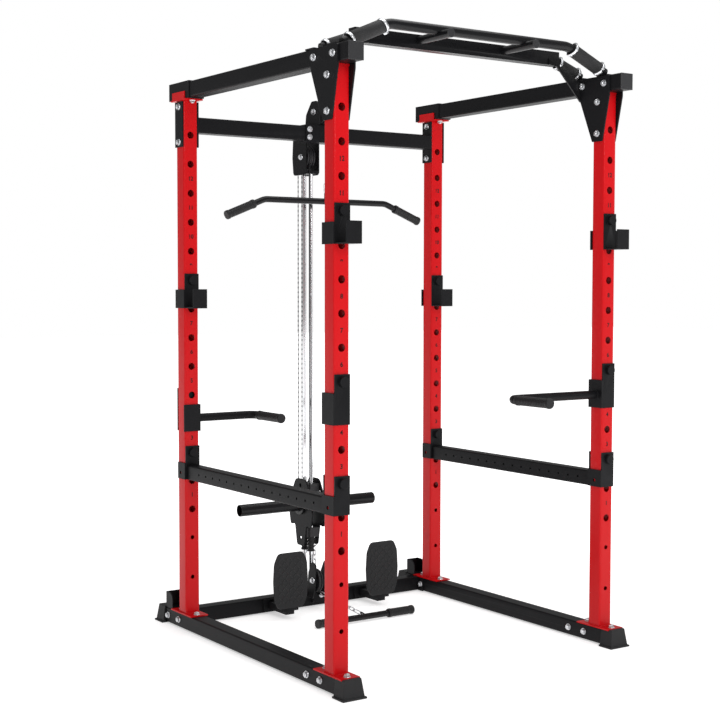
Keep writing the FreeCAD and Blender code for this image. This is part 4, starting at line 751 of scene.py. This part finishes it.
def bumper_profile(length, radius):
    """Four swellings with waists between them, like a bellows."""
    core = 0.009
    waist = radius - 0.0025
    rows = [(0, core), (0, radius - 0.002), (0.03, radius)]
    for i in range(4):
        at = 0.08 + i * 0.22
        rows += [(at, radius), (at + 0.05, waist), (at + 0.14, waist), (at + 0.19, radius)]
    return rows + [(0.97, radius), (1, radius - 0.002), (1, core)]


def turned_node(node, name, profile, material):
    """Every solid of a part turned anew, as one piece."""
    pieces = []
    for island in islands(node):
        start, end, radius = line_of(island)
        pieces.append(turned("turned", start, end, profile((end - start).length, radius),
                             material))
    place_piece(joined(name, pieces), BODY_OF[node], [node])


for node in ("lat_bar_grips", "row_bar_grips", "dip_grip_left", "dip_grip_right"):
    turned_node(node, "ridged_" + node, grip_profile, grip_foam)
turned_node("arm_rubber_sleeves", "arm_sleeves", sleeve_profile, rubber)
turned_node("carriage_bumpers", "bellows_bumpers", bumper_profile, rubber)
print("turned pieces made")

# %% [markdown]
# ## Foot plates
# The lifter braces both feet on two rubber-faced plates. Each has a raised rim and
# rows of short slanting ribs. The plate keeps its measured outline, and a tree lays the
# ribs on a grid, turning every other row the other way.

# %% Foot plates
soften("foot_plates", rubber, 0.0025, 3)
treads, given, result = node_tree("slanting_ribs", [
    ("Rib Length", "NodeSocketFloat", 0.019), ("Rib Width", "NodeSocketFloat", 0.003),
    ("Rib Height", "NodeSocketFloat", 0.0024), ("Material", "NodeSocketMaterial", None)])
rib_size = add(treads, "ShaderNodeCombineXYZ",
               [("X", given.outputs["Rib Length"]), ("Y", given.outputs["Rib Height"]),
                ("Z", given.outputs["Rib Width"])])
rib = add(treads, "GeometryNodeMeshCube", [("Size", rib_size.outputs[0])])
slant = add(treads, "GeometryNodeInputNamedAttribute", [("Name", "slant")], data_type="FLOAT")
slant_turn = add(treads, "ShaderNodeCombineXYZ", [("Y", slant.outputs[0])])
copies = add(treads, "GeometryNodeInstanceOnPoints", [
    ("Points", given.outputs["Geometry"]), ("Instance", rib.outputs[0]),
    ("Rotation", slant_turn.outputs[0])])
end_tree(treads, copies.outputs[0], given, result)

RIB_PITCH = 0.0175
RIM = 0.016
# a plate narrows slowly up to its shoulder and then faster, as shares of its half width
SHOULDER = 0.64
points = []
slants = []
for island in islands("foot_plates"):
    low, high = corners(island)
    centre = (low + high) / 2
    half_width = (high.x - low.x) / 2
    half_height = (high.z - low.z) / 2
    columns = int(half_width / RIB_PITCH)
    rows = int(half_height / RIB_PITCH)
    for row in range(-rows, rows + 1):
        for column in range(-columns, columns + 1):
            x = column * RIB_PITCH
            z = row * RIB_PITCH
            share = abs(z) / half_height
            if share < SHOULDER:
                taper = 0.08 * share
            else:
                taper = 0.05 + 0.23 * (share - SHOULDER) / (1 - SHOULDER)
            room = half_width * (1 - taper) - RIM
            if abs(x) < room and abs(z) < half_height - RIM:
                points.append((centre.x + x, low.y, centre.z + z))
                slants.append(math.radians(45 if (row + column) % 2 else -45))
grid = bpy.data.meshes.new("rib_points")
grid.from_pydata(points, [], [])
slant_values = grid.attributes.new("slant", "FLOAT", "POINT")
for item, value in zip(slant_values.data, slants):
    item.value = value
piece = baked(link(bpy.data.objects.new("rib_points", grid)), treads, "tread_ribs",
              Material=rubber)
place_piece(piece, "frame")
print("tread ribs:", len(points))

# %% [markdown]
# ## Welds
# A weld is a row of overlapping ripples. The tree resamples a line at the ripple's
# pitch and sets one flattened bead on each point, turned along the line.

# %% The weld tree
welds, given, result = node_tree("weld_beads", [
    ("Pitch", "NodeSocketFloat", 0.0032), ("Radius", "NodeSocketFloat", 0.0032),
    ("Material", "NodeSocketMaterial", None)])
line = add(welds, "GeometryNodeMeshToCurve", [("Mesh", given.outputs["Geometry"])])
even = add(welds, "GeometryNodeResampleCurve", [("Curve", line.outputs[0]),
                                                ("Length", given.outputs["Pitch"])], mode="LENGTH")
bead = add(welds, "GeometryNodeMeshIcoSphere", [("Radius", given.outputs["Radius"]),
                                                ("Subdivisions", 2)])
tangent = welds.nodes.new("GeometryNodeInputTangent")
turn = add(welds, "FunctionNodeAlignRotationToVector", [("Vector", tangent.outputs[0])], axis="X")
copies = add(welds, "GeometryNodeInstanceOnPoints", [
    ("Points", even.outputs[0]), ("Instance", bead.outputs[0]), ("Rotation", turn.outputs[0]),
    ("Scale", (0.75, 1.0, 0.9))])
end_tree(welds, copies.outputs[0], given, result)


def line_mesh(name, runs, closed):
    """One mesh of edges along several runs of points."""
    vertices = []
    edges = []
    for run in runs:
        first = len(vertices)
        vertices += [tuple(p) for p in run]
        edges += [(first + i, first + (i + 1) % len(run))
                  for i in range(len(run) if closed else len(run) - 1)]
    mesh = bpy.data.meshes.new(name)
    mesh.from_pydata(vertices, edges, [])
    return mesh


def weld(name, loops, body, material):
    """One piece of weld beads along closed loops of points."""
    mesh = line_mesh(name + "_line", loops, closed=True)
    piece = baked(link(bpy.data.objects.new(name + "_line", mesh)), welds, name,
                  Material=material)
    return place_piece(piece, body)


def square_loop(centre, half, corner=0.005):
    """A square with cut corners, level with the floor."""
    loop = []
    for sx, sy in ((1, 1), (-1, 1), (-1, -1), (1, -1)):
        first = (centre[0] + sx * half, centre[1] + sy * (half - corner))
        second = (centre[0] + sx * (half - corner), centre[1] + sy * half)
        pair = (first, second) if sx == sy else (second, first)
        loop += [(x, y, centre[2]) for x, y in pair]
    return loop


def circle_loop(centre, radius, axis, count=24):
    first = Vector(axis).orthogonal().normalized()
    second = Vector(axis).cross(first)
    return [Vector(centre) + (first * math.cos(a) + second * math.sin(a)) * radius
            for a in [2 * math.pi * i / count for i in range(count)]]


# %% Welds on the posts, the pull-up bar and the handles
TUBE_HALF = 0.030
BRACKET_FACE = 0.0357
HANDLE_WELD = 0.0165
SLEEVE_WELD = 0.0252
SLEEVE_FOOT = 0.0465
post_centre = {}
for node in POSTS:
    low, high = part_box(node)
    post_centre[node] = ((low[0] + high[0]) / 2, (low[1] + high[1]) / 2, low[2])
loops = [square_loop(place, TUBE_HALF) for place in post_centre.values()]
weld("post_foot_welds", loops, "frame", red_enamel)
for node, side in (("dip_bracket_right", -1), ("dip_bracket_left", 1)):
    grip_low, grip_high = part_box(node.replace("bracket", "grip"))
    height = (grip_low[2] + grip_high[2]) / 2
    post = post_centre["upright_front_right" if side < 0 else "upright_rear_left"]
    centre = (post[0] + side * BRACKET_FACE, post[1], height)
    weld("weld_of_" + node, [circle_loop(centre, HANDLE_WELD, (1, 0, 0))], BODY_OF[node],
         black_powder)
sleeve_low, sleeve_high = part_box("weight_sleeves")
sleeve_y = (sleeve_low[1] + sleeve_high[1]) / 2
sleeve_z = (sleeve_low[2] + sleeve_high[2]) / 2
weld("sleeve_welds",
     [circle_loop((side * SLEEVE_FOOT, sleeve_y, sleeve_z), SLEEVE_WELD, (1, 0, 0))
      for side in (-1, 1)], "carriage", black_powder)
print("welds made")

# %% [markdown]
# ## Numbers beside the holes
# Each large hole has a small printed number above it, so that both sides can be set to
# the same height. The digits are flat text made into a mesh that stands a hair in front
# of the post's face.

# %% Numbers
FIRST_HOLE = 0.481
HOLE_PITCH = 0.112
HOLE_COUNT = 14
DIGIT_SIZE = 0.022
DIGIT_BOLD = 0.0006
INK_THICK = 0.0003
HIGHEST_NUMBER = 1.88


def number_mesh(text, centre):
    curve = bpy.data.curves.new("digits", "FONT")
    curve.body = text
    curve.size = DIGIT_SIZE
    curve.offset = DIGIT_BOLD
    curve.align_x = "CENTER"
    curve.align_y = "CENTER"
    holder = link(bpy.data.objects.new("digits", curve))
    bpy.context.view_layer.update()
    mesh = bpy.data.meshes.new_from_object(holder.evaluated_get(
        bpy.context.evaluated_depsgraph_get()))
    bpy.data.objects.remove(holder)
    mesh.transform(Matrix.Translation(centre) @ Matrix.Rotation(math.radians(90), 4, "X"))
    return mesh


digits = bmesh.new()
for node in POSTS:
    x, y, z = post_centre[node]
    for i in range(HOLE_COUNT):
        height = FIRST_HOLE + HOLE_PITCH * (i + 0.5)
        if height < HIGHEST_NUMBER:
            mesh = number_mesh(str(i + 1), (x, y - TUBE_HALF - INK_THICK, height))
            digits.from_mesh(mesh)
number_data = bpy.data.meshes.new("hole_numbers")
digits.to_mesh(number_data)
digits.free()
number_data.materials.clear()
number_data.materials.append(ink)
numbers = link(bpy.data.objects.new("hole_numbers", number_data))
solid = numbers.modifiers.new("ink", "SOLIDIFY")
solid.thickness = INK_THICK
place_piece(numbers, "frame")
print("numbers:", len(number_data.polygons), "faces")

# %% [markdown]
# ## Cables
# Two coated wire cables run over the pulleys. What lies on the pulleys never moves,
# so it is one piece on the frame. The straight strands get longer or shorter; they are
# made as pieces of their own, the two lift strands as one, and left where they are made.

# %% Cables
CABLE_RADIUS = 0.0025
GROOVE = 0.0455


def middle_of(node):
    low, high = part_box(node)
    return (Vector(low) + Vector(high)) / 2


ropes, given, result = node_tree("laid_cable", [
    ("Radius", "NodeSocketFloat", CABLE_RADIUS), ("Lay", "NodeSocketFloat", 0.03),
    ("Material", "NodeSocketMaterial", None)])
route = add(ropes, "GeometryNodeMeshToCurve", [("Mesh", given.outputs["Geometry"])])
distance = ropes.nodes.new("GeometryNodeSplineParameter")
twist = sum_of(ropes, "DIVIDE", distance.outputs["Length"], given.outputs["Lay"])
twist = sum_of(ropes, "MULTIPLY", twist, 2 * math.pi)
twisted = add(ropes, "GeometryNodeSetCurveTilt", [("Curve", route.outputs[0]), ("Tilt", twist)])
hollow_radius = sum_of(ropes, "MULTIPLY", given.outputs["Radius"], 0.88)
lobes = add(ropes, "GeometryNodeCurveStar", [("Points", 6), ("Inner Radius", hollow_radius),
                                             ("Outer Radius", given.outputs["Radius"])])
rope = add(ropes, "GeometryNodeCurveToMesh", [("Curve", twisted.outputs[0]),
                                              ("Profile Curve", lobes.outputs[0]),
                                              ("Fill Caps", True)])
end_tree(ropes, rope.outputs[0], given, result)


def cable(name, routes):
    """Cables along plain runs of points."""
    mesh = line_mesh(name, routes, closed=False)
    piece = baked(link(bpy.data.objects.new(name, mesh)), ropes, name, Material=cable_coat)
    piece.data.shade_smooth()
    return piece


def straight(start, end, step=0.005):
    start = Vector(start)
    end = Vector(end)
    count = max(2, int((end - start).length / step))
    return [start.lerp(end, i / count) for i in range(count + 1)]


def around(pulley, start_angle, end_angle, step=4):
    """Points round a pulley's groove; 0 points rearwards and 90 up."""
    centre = middle_of(pulley)
    count = int(abs(end_angle - start_angle) / step)
    return [centre + Vector((0, math.cos(a), math.sin(a))) * GROOVE for a in
            [math.radians(start_angle + (end_angle - start_angle) * i / count)
             for i in range(count + 1)]]


front_pulley = middle_of("lat_pulley_front")
rear_pulley = middle_of("lat_pulley_rear")
upper_row = middle_of("row_pulley_upper")
lower_row = middle_of("row_pulley_lower")
slope = rear_pulley - front_pulley
touch = math.degrees(math.atan2(slope.y, -slope.z))
lat_route = around("lat_pulley_front", 180, touch)
lat_route += straight(lat_route[-1], around("lat_pulley_rear", touch, 0)[0])[1:-1]
lat_route += around("lat_pulley_rear", touch, 0)
row_route = around("row_pulley_upper", 0, 180)
row_route += straight(row_route[-1], around("row_pulley_lower", 0, -90)[0])[1:-1]
row_route += around("row_pulley_lower", 0, -90)
piece = cable("cables_on_pulleys", [lat_route, row_route])
place_piece(piece, "frame", ["cable_runs"])

lug_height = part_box("lift_cables")[0][2]
lifts = [straight((centre.x, centre.y + GROOVE, centre.z),
                  (centre.x, centre.y + GROOVE, lug_height), 0.02)
         for centre in (rear_pulley, upper_row)]
piece = cable("lift_strands", lifts)
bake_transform(piece)
place_later = [(piece, ["lift_cables"])]
drop_low, drop_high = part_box("lat_drop_cable")
drop_y = front_pulley.y - GROOVE
drop = straight((0, drop_y, drop_high[2]), (0, drop_y, drop_low[2]), 0.004)
piece = cable("lat_strand", [drop])
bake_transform(piece)
place_later.append((piece, ["lat_drop_cable"]))
keel = lower_row.z - GROOVE
lead = straight((lower_row.x, lower_row.y, keel), (lower_row.x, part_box("cable_runs")[0][1], keel),
                0.004)
piece = cable("row_strand", [lead])
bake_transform(piece)
place_later.append((piece, []))
for piece, nodes in place_later:
    if nodes:
        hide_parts(*nodes)
print("cables made")
